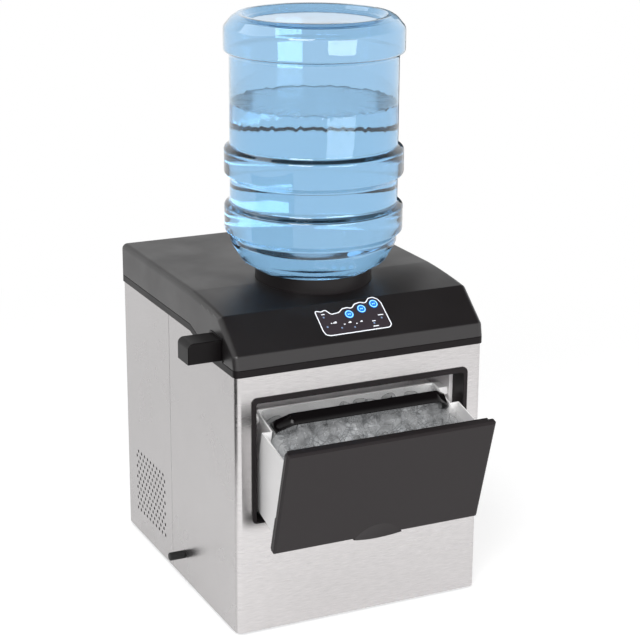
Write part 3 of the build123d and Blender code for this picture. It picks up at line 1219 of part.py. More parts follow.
CAP_LOW = BUTTON_TRAVEL + FIT
STEM_LOW = SWITCH_H - BOARD_DROP + BUTTON_TRAVEL + FIT

for number, spot in enumerate(zip(BUTTON_X, BUTTON_UP), start=1):
    with BuildPart() as button:
        with BuildSketch(SLOPE.offset(CAP_LOW)):
            with Locations(spot):
                Circle(BUTTON_R)
        extrude(amount=OVERLAY_T + BUTTON_PROUD - CAP_LOW)
        with BuildSketch(SLOPE.offset(STEM_LOW)):
            with Locations(spot):
                Circle(BUTTON_STEM_R)
        extrude(amount=CAP_LOW - STEM_LOW)
    finish(button, f"button_{number}")

with BuildPart() as indicator_lights:
    with BuildSketch(SLOPE.offset(FIT - BOARD_DROP)):
        with Locations(*LAMP_SPOTS):
            Circle(LAMP_R)
    extrude(amount=BOARD_DROP + OVERLAY_T - FIT)
finish(indicator_lights, "indicator_lights")

with BuildPart() as control_board:
    with BuildSketch(SLOPE.offset(-BOARD_DROP)):
        with Locations((0, BOARD_UP)):
            Rectangle(BOARD_W, BOARD_H)
    extrude(amount=-BOARD_T)
    with BuildSketch(SLOPE.offset(-BOARD_DROP)):
        with Locations(*zip(BUTTON_X, BUTTON_UP)):
            Rectangle(SWITCH_W, SWITCH_W)
    extrude(amount=SWITCH_H)
    with BuildSketch(SLOPE.offset(-BOARD_DROP - BOARD_T)):
        with Locations((-BOARD_W / 4, BOARD_UP)):
            Rectangle(BOARD_H / 2, BOARD_H / 2)
        with Locations((BOARD_W / 4, BOARD_UP)):
            Rectangle(BOARD_H / 3, BOARD_H / 4)
    extrude(amount=-SWITCH_H)
finish(control_board, "control_board")

# Ice unit behind the cavity: frame, evaporator with fingers, tilting tray and its motor, chute and flap
TRAY_Y = behind(TRAY_BEHIND)
TRAY_Z = above(TRAY_H)
FRAME_X = TRAY_HALF_W + TRAY_GAP
FRAME_FRONT_Y = LINER_BACK_Y + FIT
FRAME_BACK_Y = TRAY_Y + TRAY_R
FRAME_MID_Y = (FRAME_FRONT_Y + FRAME_BACK_Y) / 2
FRAME_TOP_Z = above(FRAME_TOP_H)
PLATE_LOW_Z = FRAME_TOP_Z - FIT - EVAP_T

with BuildPart() as ice_frame:
    with BuildSketch(level(FRAME_TOP_Z)):
        with Locations((0, FRAME_MID_Y)):
            Rectangle(2 * FRAME_X + 2 * FRAME_T, FRAME_BACK_Y - FRAME_FRONT_Y)
    extrude(amount=FRAME_T)
    for side in (-1, 1):
        with BuildSketch(facing_right(side * FRAME_X)):
            with Locations((FRAME_MID_Y, FRAME_TOP_Z - FRAME_H / 2)):
                Rectangle(FRAME_BACK_Y - FRAME_FRONT_Y, FRAME_H)
            with Locations((TRAY_Y, TRAY_Z)):
                Circle(TRAY_PIN_R + RUN_FIT, mode=Mode.SUBTRACT)
        extrude(amount=side * FRAME_T)
    with BuildSketch(facing_front(FRAME_FRONT_Y)):
        with Locations((0, (FRAME_TOP_Z + above(CAVITY_HIGH_H)) / 2)):
            Rectangle(2 * FRAME_X, FRAME_TOP_Z - above(CAVITY_HIGH_H))
    extrude(amount=-FRAME_T)
finish(ice_frame, "ice_frame")

with BuildPart() as evaporator:
    with BuildSketch(level(PLATE_LOW_Z)):
        with Locations((0, TRAY_Y)):
            Rectangle(2 * EVAP_HALF_W, EVAP_D)
    extrude(amount=EVAP_T)
    with BuildSketch(level(PLATE_LOW_Z)):
        with Locations((0, TRAY_Y)):
            with GridLocations(FINGER_PITCH, FINGER_ROW_PITCH, FINGERS, 2):
                Circle(FINGER_R)
    extrude(amount=TRAY_Z - FINGER_DIP - PLATE_LOW_Z)
finish(evaporator, "evaporator")

with BuildPart() as water_tray:
    with BuildSketch(facing_right(-TRAY_HALF_W)):
        with Locations((TRAY_Y, TRAY_Z)):
            Circle(TRAY_R)
            with Locations((0, TRAY_R)):
                Rectangle(2 * TRAY_R, 2 * TRAY_R, mode=Mode.SUBTRACT)
    extrude(amount=2 * TRAY_HALF_W)
    with BuildSketch(facing_right(TRAY_WALL - TRAY_HALF_W)):
        with Locations((TRAY_Y, TRAY_Z)):
            Circle(TRAY_R - TRAY_WALL)
    extrude(amount=2 * TRAY_HALF_W - 2 * TRAY_WALL, mode=Mode.SUBTRACT)
    for side in (-1, 1):
        with BuildSketch(facing_right(side * TRAY_HALF_W)):
            with Locations((TRAY_Y, TRAY_Z)):
                Circle(2 * TRAY_PIN_R)
        extrude(amount=-side * TRAY_WALL)
        with BuildSketch(facing_right(side * TRAY_HALF_W)):
            with Locations((TRAY_Y, TRAY_Z)):
                Circle(TRAY_PIN_R)
        extrude(amount=side * (TRAY_GAP + FRAME_T + TRAY_PIN_PROUD))
finish(water_tray, "water_tray")

MOTOR_X = FRAME_X + FRAME_T + FIT

with BuildPart() as tray_motor:
    with BuildSketch(facing_right(MOTOR_X)):
        with Locations((TRAY_Y, TRAY_Z)):
            Circle(TRAY_MOTOR_R)
            Circle(TRAY_PIN_R + RUN_FIT, mode=Mode.SUBTRACT)
    extrude(amount=TRAY_PIN_PROUD)
    with BuildSketch(facing_right(MOTOR_X + TRAY_PIN_PROUD)):
        with Locations((TRAY_Y, TRAY_Z)):
            Circle(TRAY_MOTOR_R)
    extrude(amount=TRAY_MOTOR_L)
finish(tray_motor, "tray_motor")

CHUTE_FRONT = (LINER_BACK_Y + FIT, above(ICE_WAY_LOW_H))
CHUTE_BACK = (TRAY_Y + TRAY_R, above(CHUTE_BACK_H))
CHUTE_MID_Y = (CHUTE_FRONT[0] + CHUTE_BACK[0]) / 2

with BuildPart() as ice_chute:
    with BuildSketch(facing_right(0)):
        Polygon(
            CHUTE_FRONT,
            CHUTE_BACK,
            (CHUTE_BACK[0], CHUTE_BACK[1] - FRAME_T),
            (CHUTE_FRONT[0] + FRAME_T, CHUTE_FRONT[1] - FRAME_T),
            (CHUTE_FRONT[0] + FRAME_T, CHUTE_FRONT[1] - CHUTE_FOOT_H),
            (CHUTE_FRONT[0], CHUTE_FRONT[1] - CHUTE_FOOT_H),
            align=None,
        )
    extrude(amount=ICE_WAY_HALF_W, both=True)
    with BuildSketch(level(CHUTE_BACK[1])):
        with Locations((0, CHUTE_MID_Y)):
            with GridLocations(CHUTE_SLOT_PITCH, 1, CHUTE_SLOTS, 1):
                Rectangle(CHUTE_SLOT_W, CHUTE_SLOT_L)
    extrude(amount=-CHUTE_FOOT_H, mode=Mode.SUBTRACT)
finish(ice_chute, "ice_chute")

FLAP_Y = behind(CAVITY_BACK_BEHIND) - FLAP_T / 2 - SLIDE_FIT
FLAP_Z = above(FLAP_AXIS_H)
FLAP_LOW_Z = above(ICE_WAY_LOW_H) - FLAP_LAP

with BuildPart() as chute_flap:
    with BuildSketch(facing_front(FLAP_Y + FLAP_T / 2)):
        with Locations((0, (FLAP_LOW_Z + FLAP_Z) / 2)):
            Rectangle(2 * FLAP_HALF_W, FLAP_Z - FLAP_LOW_Z)
    extrude(amount=FLAP_T)
    with BuildSketch(facing_right(-FLAP_HALF_W)):
        with Locations((FLAP_Y, FLAP_Z)):
            Circle(FLAP_T / 2)
    extrude(amount=2 * FLAP_HALF_W)
    with BuildSketch(facing_right(-FLAP_HALF_W)):
        with Locations((FLAP_Y, FLAP_Z)):
            Circle(FLAP_PIN_R + RUN_FIT)
    extrude(amount=2 * FLAP_HALF_W, mode=Mode.SUBTRACT)
finish(chute_flap, "chute_flap")

with BuildPart() as flap_pin:
    with BuildSketch(facing_right(-FLAP_HALF_W - FLAP_LUG_W)):
        with Locations((FLAP_Y, FLAP_Z)):
            Circle(FLAP_PIN_R)
    extrude(amount=2 * FLAP_HALF_W + 2 * FLAP_LUG_W)
finish(flap_pin, "flap_pin")

# Two sensors on the cavity's side walls that see when the basket is full
with BuildPart() as full_sensors:
    for side in (-1, 1):
        with BuildSketch(facing_right(side * (CAVITY_HALF_W - FIT))):
            with Locations((behind(SENSOR_BEHIND), above(SENSOR_H))):
                RectangleRounded(SENSOR_L, SENSOR_W, SENSOR_W / 4)
        extrude(amount=-side * SENSOR_T)
finish(full_sensors, "full_sensors")

# Water tank on legs, drain tube with its rubber cap, pump and riser
TANK_MID_X = (TANK_RIGHT_X + TANK_LEFT_X) / 2
TANK_MID_Y = behind((TANK_FRONT_BEHIND + TANK_BACK_BEHIND) / 2)
TANK_W = TANK_RIGHT_X - TANK_LEFT_X
TANK_D = TANK_BACK_BEHIND - TANK_FRONT_BEHIND
DRAIN_Y = behind(DRAIN_BEHIND)
DRAIN_Z = above(DRAIN_H)

with BuildPart() as water_tank:
    with BuildSketch(level(above(TANK_LOW_H))):
        with Locations((TANK_MID_X, TANK_MID_Y)):
            RectangleRounded(TANK_W, TANK_D, TANK_CORNER_R)
    extrude(amount=TANK_HIGH_H - TANK_LOW_H)
    with BuildSketch(level(above(TANK_LOW_H) + TANK_WALL)):
        with Locations((TANK_MID_X, TANK_MID_Y)):
            RectangleRounded(TANK_W - 2 * TANK_WALL, TANK_D - 2 * TANK_WALL, TANK_CORNER_R - TANK_WALL)
    extrude(amount=TANK_HIGH_H, mode=Mode.SUBTRACT)
    with BuildSketch(level(above(PAN_WALL) + FIT)):
        with Locations((TANK_MID_X, TANK_MID_Y)):
            with GridLocations(TANK_W - 2 * TANK_LEG, TANK_D - 2 * TANK_LEG, 2, 2):
                Rectangle(TANK_LEG, TANK_LEG)
    extrude(amount=TANK_LOW_H - PAN_WALL - FIT)
    with BuildSketch(level(above(TANK_LOW_H))):
        with Locations((DRAIN_TURN_X, DRAIN_Y)):
            Circle(DRAIN_BORE_R)
    extrude(amount=TANK_WALL, mode=Mode.SUBTRACT)
finish(water_tank, "water_tank")

DRAIN_START = (-SIDE_X - DRAIN_PROUD, DRAIN_Y, DRAIN_Z)

with BuildPart() as drain_tube:
    with BuildLine() as drain_path:
        FilletPolyline(
            DRAIN_START,
            (DRAIN_TURN_X, DRAIN_Y, DRAIN_Z),
            (DRAIN_TURN_X, DRAIN_Y, above(TANK_LOW_H) - FIT),
            radius=DRAIN_BEND_R,
        )
    swept_tube(drain_path.line, Plane(DRAIN_START, z_dir=(1, 0, 0)), DRAIN_TUBE_R, DRAIN_BORE_R)
finish(drain_tube, "drain_tube")

with BuildPart() as drain_cap:
    with BuildSketch(facing_right(-SIDE_X - SLIDE_FIT)):
        with Locations((DRAIN_Y, DRAIN_Z)):
            Circle(DRAIN_CAP_R)
    extrude(amount=-DRAIN_CAP_L)
    chamfer(drain_cap.edges().sort_by(Axis.X)[:1], DRAIN_CAP_BEVEL)
    with BuildSketch(facing_right(-SIDE_X)):
        with Locations((DRAIN_Y, DRAIN_Z)):
            Circle(DRAIN_TUBE_R + RUN_FIT)
    extrude(amount=-DRAIN_PROUD - FIT, mode=Mode.SUBTRACT)
finish(drain_cap, "drain_cap")

PUMP_Y = behind(PUMP_BEHIND)

with BuildPart() as water_pump:
    with BuildSketch(level(above(PAN_WALL) + FIT)):
        with Locations((PUMP_X, PUMP_Y)):
            Circle(PUMP_R)
    extrude(amount=PUMP_H)
    fillet(water_pump.edges().sort_by(Axis.Z)[-1:], PUMP_R / 4)
    with BuildSketch(facing_front(PUMP_Y)):
        with Locations((PUMP_X, above(TANK_LOW_H) + TUBE_R)):
            Circle(TUBE_R)
    extrude(amount=PUMP_Y - behind(TANK_BACK_BEHIND) - FIT)
finish(water_pump, "water_pump")

RISER_START = (PUMP_X, PUMP_Y, above(PAN_WALL) + PUMP_H + 2 * FIT)
RISER_TOP_Z = above(RISER_TOP_H)

with BuildPart() as riser_tube:
    with BuildLine() as riser_path:
        FilletPolyline(
            RISER_START,
            (PUMP_X, PUMP_Y, RISER_TOP_Z),
            (PUMP_X, behind(RISER_END_BEHIND), RISER_TOP_Z),
            radius=DRAIN_BEND_R,
        )
    swept_tube(riser_path.line, Plane(RISER_START), TUBE_R, DRAIN_BORE_R)
finish(riser_tube, "riser_tube")

# Cooling unit: compressor, condenser, fan and the refrigerant pipes
BAY_Y = behind(BAY_MID_BEHIND)
COND_Z = above(COND_H)

with BuildPart() as compressor:
    with BuildSketch(level(above(PAN_WALL) + FIT)):
        with Locations((COMP_X, BAY_Y)):
            RectangleRounded(2 * COMP_R, 2 * COMP_R, COMP_R / 4)
    extrude(amount=COMP_FOOT_T)
    with BuildSketch(level(above(PAN_WALL) + FIT + COMP_FOOT_T)):
        with Locations((COMP_X, BAY_Y)):
            Circle(COMP_R - COMP_FOOT_T)
    extrude(amount=COMP_TALL)
    fillet(compressor.edges().sort_by(Axis.Z)[-1:], COMP_R / 3)
finish(compressor, "compressor")

with BuildPart() as condenser:
    with BuildSketch(facing_right(COND_X)):
        with Locations((BAY_Y, COND_Z)):
            Rectangle(COND_W, COND_TALL)
    extrude(amount=COND_T)
    with BuildSketch(facing_front(BAY_Y - COND_W / 2)):
        with Locations((COND_X + COND_FIN_DEPTH / 2, COND_Z)):
            with GridLocations(1, COND_FIN_PITCH, 1, COND_FINS):
                Rectangle(COND_FIN_DEPTH, COND_FIN_PITCH / 2)
    extrude(amount=-COND_W, mode=Mode.SUBTRACT)
finish(condenser, "condenser")

SHROUD_X = COND_X + COND_T + FIT
FAN_LOW_X = SHROUD_X + FAN_GAP
MOTOR_FACE_X = SHROUD_X + SHROUD_L - SHROUD_WALL

with BuildPart() as fan_shroud:
    with BuildSketch(facing_right(SHROUD_X)):
        with Locations((BAY_Y, COND_Z)):
            Rectangle(COND_W, COND_TALL)
    extrude(amount=SHROUD_WALL)
    with BuildSketch(facing_right(SHROUD_X)):
        with Locations((BAY_Y, COND_Z)):
            Circle(SHROUD_R + SHROUD_WALL)
    extrude(amount=SHROUD_L)
    with BuildSketch(facing_right(SHROUD_X)):
        with Locations((BAY_Y, COND_Z)):
            Circle(SHROUD_R)
    extrude(amount=SHROUD_L, mode=Mode.SUBTRACT)
    with BuildSketch(facing_right(MOTOR_FACE_X)):
        with Locations((BAY_Y, COND_Z)):
            Rectangle(2 * SHROUD_R + SHROUD_WALL, SPOKE_W)
            Rectangle(SPOKE_W, 2 * SHROUD_R + SHROUD_WALL)
            Circle(FAN_MOTOR_R + SHROUD_WALL)
            Circle(FAN_MOTOR_R + FIT, mode=Mode.SUBTRACT)
    extrude(amount=SHROUD_WALL)
    with BuildSketch(facing_front(BAY_Y - COND_W / 2)):
        with Locations((SHROUD_X + SHROUD_WALL / 2, (COND_Z - COND_TALL / 2 + above(PAN_WALL) + FIT) / 2)):
            Rectangle(SHROUD_WALL, COND_Z - COND_TALL / 2 - above(PAN_WALL) - FIT)
    extrude(amount=-COND_W)
finish(fan_shroud, "fan_shroud")

FAN_BLADE_W = 2 * FAN_HUB_R * sin(radians(180 / FAN_BLADES))

with BuildPart() as fan_blade:
    with BuildSketch(facing_right(FAN_LOW_X)):
        with Locations((BAY_Y, COND_Z)):
            Circle(FAN_HUB_R)
    extrude(amount=FAN_L)
    for angle in range(0, 360, 360 // FAN_BLADES):
        spoke = Plane((FAN_LOW_X + FAN_L / 2, BAY_Y, COND_Z), x_dir=(1, 0, 0), z_dir=(0, 0, 1))
        with BuildSketch(spoke.rotated((angle, 0, 0)).offset(FAN_HUB_R - FAN_BLADE_T)):
            Rectangle(FAN_BLADE_T, FAN_BLADE_W, rotation=FAN_PITCH)
        extrude(amount=FAN_R - FAN_HUB_R)
    with BuildSketch(facing_right(FAN_LOW_X)):
        with Locations((BAY_Y, COND_Z)):
            Circle(FAN_SHAFT_R + RUN_FIT)
    extrude(amount=FAN_L, mode=Mode.SUBTRACT)
finish(fan_blade, "fan_blade")

with BuildPart() as fan_motor:
    with BuildSketch(facing_right(FAN_LOW_X + FAN_L + FAN_GAP)):
        with Locations((BAY_Y, COND_Z)):
            Circle(FAN_MOTOR_R)
    extrude(amount=FAN_MOTOR_L)
    with BuildSketch(facing_right(FAN_LOW_X)):
        with Locations((BAY_Y, COND_Z)):
            Circle(FAN_SHAFT_R)
    extrude(amount=FAN_L + FAN_GAP)
finish(fan_motor, "fan_motor")

# One pipe from the compressor to the evaporator, one on to the condenser
SUCTION_START = (COMP_X + COMP_R / 2, BAY_Y, above(PAN_WALL) + FIT + COMP_FOOT_T + COMP_TALL + FIT)
DISCHARGE_START = (COMP_X - COMP_R / 2, BAY_Y, SUCTION_START[2])
PIPE_Z = PLATE_LOW_Z + EVAP_T / 2
COND_IN_Z = COND_Z + COND_TALL / 2 - 2 * PIPE_R
COND_PIPE_Y = BAY_Y + COND_W / 2 + FIT

with BuildPart() as refrigerant_pipes:
    with BuildLine() as suction_path:
        FilletPolyline(
            SUCTION_START,
            (SUCTION_START[0], BAY_Y, PIPE_Z),
            (SUCTION_START[0], TRAY_Y, PIPE_Z),
            (FRAME_X + FRAME_T + FIT, TRAY_Y, PIPE_Z),
            radius=PIPE_BEND_R,
        )
    swept_tube(suction_path.line, Plane(SUCTION_START), PIPE_R)
    with BuildLine() as discharge_path:
        FilletPolyline(
            DISCHARGE_START,
            (DISCHARGE_START[0], BAY_Y, above(DISCHARGE_H)),
            (DISCHARGE_START[0], COND_PIPE_Y + PIPE_LOOP, above(DISCHARGE_H)),
            (COND_X + COND_T / 2, COND_PIPE_Y + PIPE_LOOP, above(DISCHARGE_H)),
            (COND_X + COND_T / 2, COND_PIPE_Y + PIPE_LOOP, COND_IN_Z),
            (COND_X + COND_T / 2, COND_PIPE_Y, COND_IN_Z),
            radius=PIPE_BEND_R,
        )
    swept_tube(discharge_path.line, Plane(DISCHARGE_START), PIPE_R)
finish(refrigerant_pipes, "refrigerant_pipes")

# Power inlet at the back, with a socket and three contacts
with BuildPart() as power_inlet:
    with BuildSketch(facing_front(BACK_Y + FIT)):
        with Locations((INLET_X, above(INLET_H))):
            RectangleRounded(INLET_W + 2 * INLET_FLANGE, INLET_TALL + 2 * INLET_FLANGE, INLET_FLANGE)
    extrude(amount=-INLET_FLANGE_T)
    with BuildSketch(facing_front(BACK_Y + FIT)):
        with Locations((INLET_X, above(INLET_H))):
            Rectangle(INLET_W, INLET_TALL)
    extrude(amount=INLET_DEPTH)
    with BuildSketch(facing_front(BACK_Y + FIT + INLET_FLANGE_T)):
        with Locations((INLET_X, above(INLET_H))):
            Rectangle(INLET_W - 2 * INLET_WALL, INLET_TALL - 2 * INLET_WALL)
    extrude(amount=INLET_DEPTH, mode=Mode.SUBTRACT)
    with BuildSketch(facing_front(BACK_Y + FIT)):
        with Locations((INLET_X, above(INLET_H))):
            with Locations((-CONTACT_PITCH, 0), (0, CONTACT_RISE), (CONTACT_PITCH, 0)):
                Rectangle(CONTACT_W, 2 * CONTACT_W)
    extrude(amount=INLET_DEPTH - INLET_WALL)
finish(power_inlet, "power_inlet")
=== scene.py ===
import json
import math
import random

import bmesh
import bpy
from mathutils import Matrix, Vector


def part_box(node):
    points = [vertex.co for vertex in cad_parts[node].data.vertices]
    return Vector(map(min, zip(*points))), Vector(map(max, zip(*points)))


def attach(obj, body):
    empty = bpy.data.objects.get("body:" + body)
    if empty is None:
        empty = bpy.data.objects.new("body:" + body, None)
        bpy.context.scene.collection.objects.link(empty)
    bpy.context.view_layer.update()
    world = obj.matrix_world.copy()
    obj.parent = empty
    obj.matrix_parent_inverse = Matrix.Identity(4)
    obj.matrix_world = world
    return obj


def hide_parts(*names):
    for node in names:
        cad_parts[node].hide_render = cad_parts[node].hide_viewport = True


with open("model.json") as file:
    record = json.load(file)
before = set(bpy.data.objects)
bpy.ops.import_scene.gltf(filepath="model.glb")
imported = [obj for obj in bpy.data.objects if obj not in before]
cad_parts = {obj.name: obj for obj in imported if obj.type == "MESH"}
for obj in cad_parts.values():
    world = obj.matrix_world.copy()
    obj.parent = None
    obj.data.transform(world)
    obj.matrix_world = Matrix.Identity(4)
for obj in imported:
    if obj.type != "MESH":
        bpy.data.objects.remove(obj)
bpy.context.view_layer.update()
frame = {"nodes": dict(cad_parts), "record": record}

bl_info = {
    "name": "Ice maker looks",
    "version": (1, 0, 0),
    "blender": (4, 5, 0),
    "location": "3D View > Sidebar > Ice maker",
    "description": "Finishes, ice, water and a small studio for a countertop ice maker with a water bottle",
    "category": "Object",
}

MM = 0.001
SLOTS = {part["node"]: part["material_slot"] for part in frame["record"]["subparts"]}
BOTTLE_LOW, BOTTLE_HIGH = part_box("water_bottle")
CASING_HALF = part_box("rear_casing")[1].x


def linear(red, green, blue):
    """Scene-linear colour of an 8-bit display colour."""
    out = []
    for value in (red, green, blue):
        share = value / 255
        out.append(share / 12.92 if share <= 0.04045 else ((share + 0.055) / 1.055) ** 2.4)
    return (*out, 1.0)


def shade(colour, factor):
    """The colour made darker or lighter."""
    return (*(min(1.0, value * factor) for value in colour[:3]), 1.0)


# Choices of the user

def colour_choice(name, description, red, green, blue):
    return bpy.props.FloatVectorProperty(
        name=name, description=description, subtype="COLOR", size=4, min=0.0, max=1.0, default=linear(red, green, blue)
    )


def length_choice(name, description, metres):
    return bpy.props.FloatProperty(
        name=name, description=description, subtype="DISTANCE", unit="LENGTH", min=0.0, precision=5, default=metres
    )


def power_choice(name, description, watts):
    return bpy.props.FloatProperty(
        name=name, description=description, subtype="POWER", unit="POWER", min=0.0, default=watts
    )


def angle_choice(name, description, degrees):
    return bpy.props.FloatProperty(
        name=name, description=description, subtype="ANGLE", unit="ROTATION", default=math.radians(degrees)
    )


def count_choice(name, description, number):
    return bpy.props.IntProperty(name=name, description=description, min=1, default=number)


class ICEMAKER_PG_colours(bpy.types.PropertyGroup):
    """Colours of the finishes"""

    steel: colour_choice("Steel", "Brushed sheet of the casing", 209, 206, 206)
    cover: colour_choice("Cover", "Charcoal plastic of the cover and its rim", 21, 18, 19)
    panel: colour_choice("Panel", "Grey-brown plastic of the drawer panel", 29, 25, 26)
    bezel: colour_choice("Bezel", "Dark plastic round the drawer opening", 30, 27, 28)
    liner: colour_choice("Liner", "Pale plastic of the ice space", 236, 233, 234)
    white: colour_choice("White plastic", "White plastic of the drawer and the parts behind it", 230, 229, 229)
    handle: colour_choice("Handle", "Glossy black plastic of the basket handle", 10, 8, 9)
    bottle: colour_choice("Bottle", "Blue tint of the bottle wall", 196, 222, 241)
    water: colour_choice("Water", "Tint of the water", 238, 248, 252)
    ice: colour_choice("Ice", "Cloudy white of the ice", 232, 234, 236)
    print_white: colour_choice("White print", "Outline and signs on the control film", 226, 230, 236)
    button: colour_choice("Button", "Blue face of the buttons", 16, 104, 200)
    button_ring: colour_choice("Button ring", "Pale ring and sign on each button", 150, 222, 250)


class ICEMAKER_PG_bottle(bpy.types.PropertyGroup):
    """Sizes of the bottle's shell and its water"""

    wall: length_choice("Wall", "Thickness of the bottle wall", 0.0014)
    water_level: length_choice("Water level", "Height of the water above the worktop", BOTTLE_HIGH.z - 0.118)
    ripple: length_choice("Ripple", "Height of the ripples on the water", 0.0009)
    turns: count_choice("Turns", "Steps round the bottle", 128)


class ICEMAKER_PG_ice(bpy.types.PropertyGroup):
    """Sizes of the heap of ice"""

    radius: length_choice("Radius", "Radius of one piece of ice", 0.0116)
    length: length_choice("Length", "Length of one piece of ice", 0.029)
    spread: length_choice("Spread", "How far a piece strays from its place in the heap", 0.005)
    columns: count_choice("Columns", "Pieces across the basket", 10)
    rows: count_choice("Rows", "Pieces from the front to the back of the basket", 5)
    seed: count_choice("Seed", "Picks one heap out of many", 7)


class ICEMAKER_PG_handle(bpy.types.PropertyGroup):
    """Sizes of the basket's handle"""

    width: length_choice("Width", "Width of the strap", 0.017)
    thickness: length_choice("Thickness", "Thickness of the strap", 0.0026)
    bend: length_choice("Bend", "Radius of the strap's bends", 0.012)


class ICEMAKER_PG_controls(bpy.types.PropertyGroup):
    """Sizes of the print on the control film"""

    line: length_choice("Line", "Width of the printed outline", 0.0014)
    ring: length_choice("Ring", "Width of the ring round each button", 0.0012)
    ring_radius: length_choice("Ring radius", "Radius of the middle of that ring", 0.0051)


class ICEMAKER_PG_stage(bpy.types.PropertyGroup):
    """Lamps, floor and camera"""

    key: power_choice("Key lamp", "Large lamp at the front left", 40.0)
    front: power_choice("Front lamp", "Large lamp at the front right", 50.0)
    back: power_choice("Back lamp", "Lamp above the rear left", 12.0)
    surround: bpy.props.FloatProperty(
        name="Surround", description="Strength of the light from all round", subtype="FACTOR", min=0.0, max=1.0,
        default=0.5,
    )
    floor: length_choice("Floor", "Half the side of the floor", 4.0)
    yaw: angle_choice("Yaw", "Turn of the camera to the right of straight ahead", 25.56)
    pitch: angle_choice("Pitch", "Fall of the camera's line of sight", 17.3)
    roll: angle_choice("Roll", "Turn of the camera about its line of sight", 0.37)
    lens: bpy.props.FloatProperty(
        name="Lens", description="Focal length on a sensor 36 mm wide, in millimetres", min=10.0, default=103.3
    )


class ICEMAKER_PG_settings(bpy.types.PropertyGroup):
    """All the choices"""

    colours: bpy.props.PointerProperty(name="Colours", description="Colours of the finishes", type=ICEMAKER_PG_colours)
    bottle: bpy.props.PointerProperty(name="Bottle", description="Bottle and water", type=ICEMAKER_PG_bottle)
    ice: bpy.props.PointerProperty(name="Ice", description="Heap of ice", type=ICEMAKER_PG_ice)
    handle: bpy.props.PointerProperty(name="Handle", description="Basket handle", type=ICEMAKER_PG_handle)
    controls: bpy.props.PointerProperty(name="Controls", description="Print on the film", type=ICEMAKER_PG_controls)
    stage: bpy.props.PointerProperty(name="Stage", description="Lamps, floor and camera", type=ICEMAKER_PG_stage)


# Node groups

def new_group(name, inputs, outputs):
    """Empty shader node group with the given (name, socket type, default) inputs and (name, type) outputs."""
    group = bpy.data.node_groups.new(name, "ShaderNodeTree")
    for label, kind, default in inputs:
        socket = group.interface.new_socket(name=label, in_out="INPUT", socket_type=kind)
        if default is not None:
            socket.default_value = default
    for label, kind in outputs:
        group.interface.new_socket(name=label, in_out="OUTPUT", socket_type=kind)
    return group, group.nodes.new("NodeGroupInput"), group.nodes.new("NodeGroupOutput")


def grain_group():
    """Fine moulded grain: a height for the surface and a slow unevenness of tone."""
    group, given, out = new_group(
        "Moulded grain",
        [("Scale", "NodeSocketFloat", 900.0), ("Cloud scale", "NodeSocketFloat", 14.0)],
        [("Height", "NodeSocketFloat"), ("Cloud", "NodeSocketFloat")],
    )
    place = group.nodes.new("ShaderNodeTexCoord")
    fine = group.nodes.new("ShaderNodeTexNoise")
    fine.inputs["Detail"].default_value = 3.0
    cloud = group.nodes.new("ShaderNodeTexNoise")
    cloud.inputs["Detail"].default_value = 4.0
    group.links.new(place.outputs["Object"], fine.inputs["Vector"])
    group.links.new(place.outputs["Object"], cloud.inputs["Vector"])
    group.links.new(given.outputs["Scale"], fine.inputs["Scale"])
    group.links.new(given.outputs["Cloud scale"], cloud.inputs["Scale"])
    group.links.new(fine.outputs["Fac"], out.inputs["Height"])
    group.links.new(cloud.outputs["Fac"], out.inputs["Cloud"])
    return group


def brushed_group():
    """Hairlines of brushed sheet: stretched noise whose stretch is set by a vector."""
    group, given, out = new_group(
        "Brushed hairlines",
        [("Stretch", "NodeSocketVector", (4.0, 4.0, 900.0)), ("Cloud stretch", "NodeSocketVector", (3.0, 3.0, 40.0))],
        [("Height", "NodeSocketFloat"), ("Streak", "NodeSocketFloat")],
    )
    place = group.nodes.new("ShaderNodeTexCoord")
    for source, target, detail in (("Stretch", "Height", 4.0), ("Cloud stretch", "Streak", 3.0)):
        scaled = group.nodes.new("ShaderNodeVectorMath")
        scaled.operation = "MULTIPLY"
        noise = group.nodes.new("ShaderNodeTexNoise")
        noise.inputs["Scale"].default_value = 1.0
        noise.inputs["Detail"].default_value = detail
        group.links.new(place.outputs["Object"], scaled.inputs[0])
        group.links.new(given.outputs[source], scaled.inputs[1])
        group.links.new(scaled.outputs["Vector"], noise.inputs["Vector"])
        group.links.new(noise.outputs["Fac"], out.inputs[target])
    return group


def edge_group():
    """Softened normal along the edges and a mask that is high on them."""
    group, given, out = new_group(
        "Soft edges",
        [("Radius", "NodeSocketFloat", 0.0008)],
        [("Normal", "NodeSocketVector"), ("Edge", "NodeSocketFloat")],
    )
    bevel = group.nodes.new("ShaderNodeBevel")
    bevel.samples = 6
    plain = group.nodes.new("ShaderNodeNewGeometry")
    dot = group.nodes.new("ShaderNodeVectorMath")
    dot.operation = "DOT_PRODUCT"
    spread = group.nodes.new("ShaderNodeMapRange")
    spread.inputs["From Min"].default_value = 0.995
    spread.inputs["From Max"].default_value = 0.85
    group.links.new(given.outputs["Radius"], bevel.inputs["Radius"])
    group.links.new(bevel.outputs["Normal"], dot.inputs[0])
    group.links.new(plain.outputs["Normal"], dot.inputs[1])
    group.links.new(dot.outputs["Value"], spread.inputs["Value"])
    group.links.new(bevel.outputs["Normal"], out.inputs["Normal"])
    group.links.new(spread.outputs["Result"], out.inputs["Edge"])
    return group


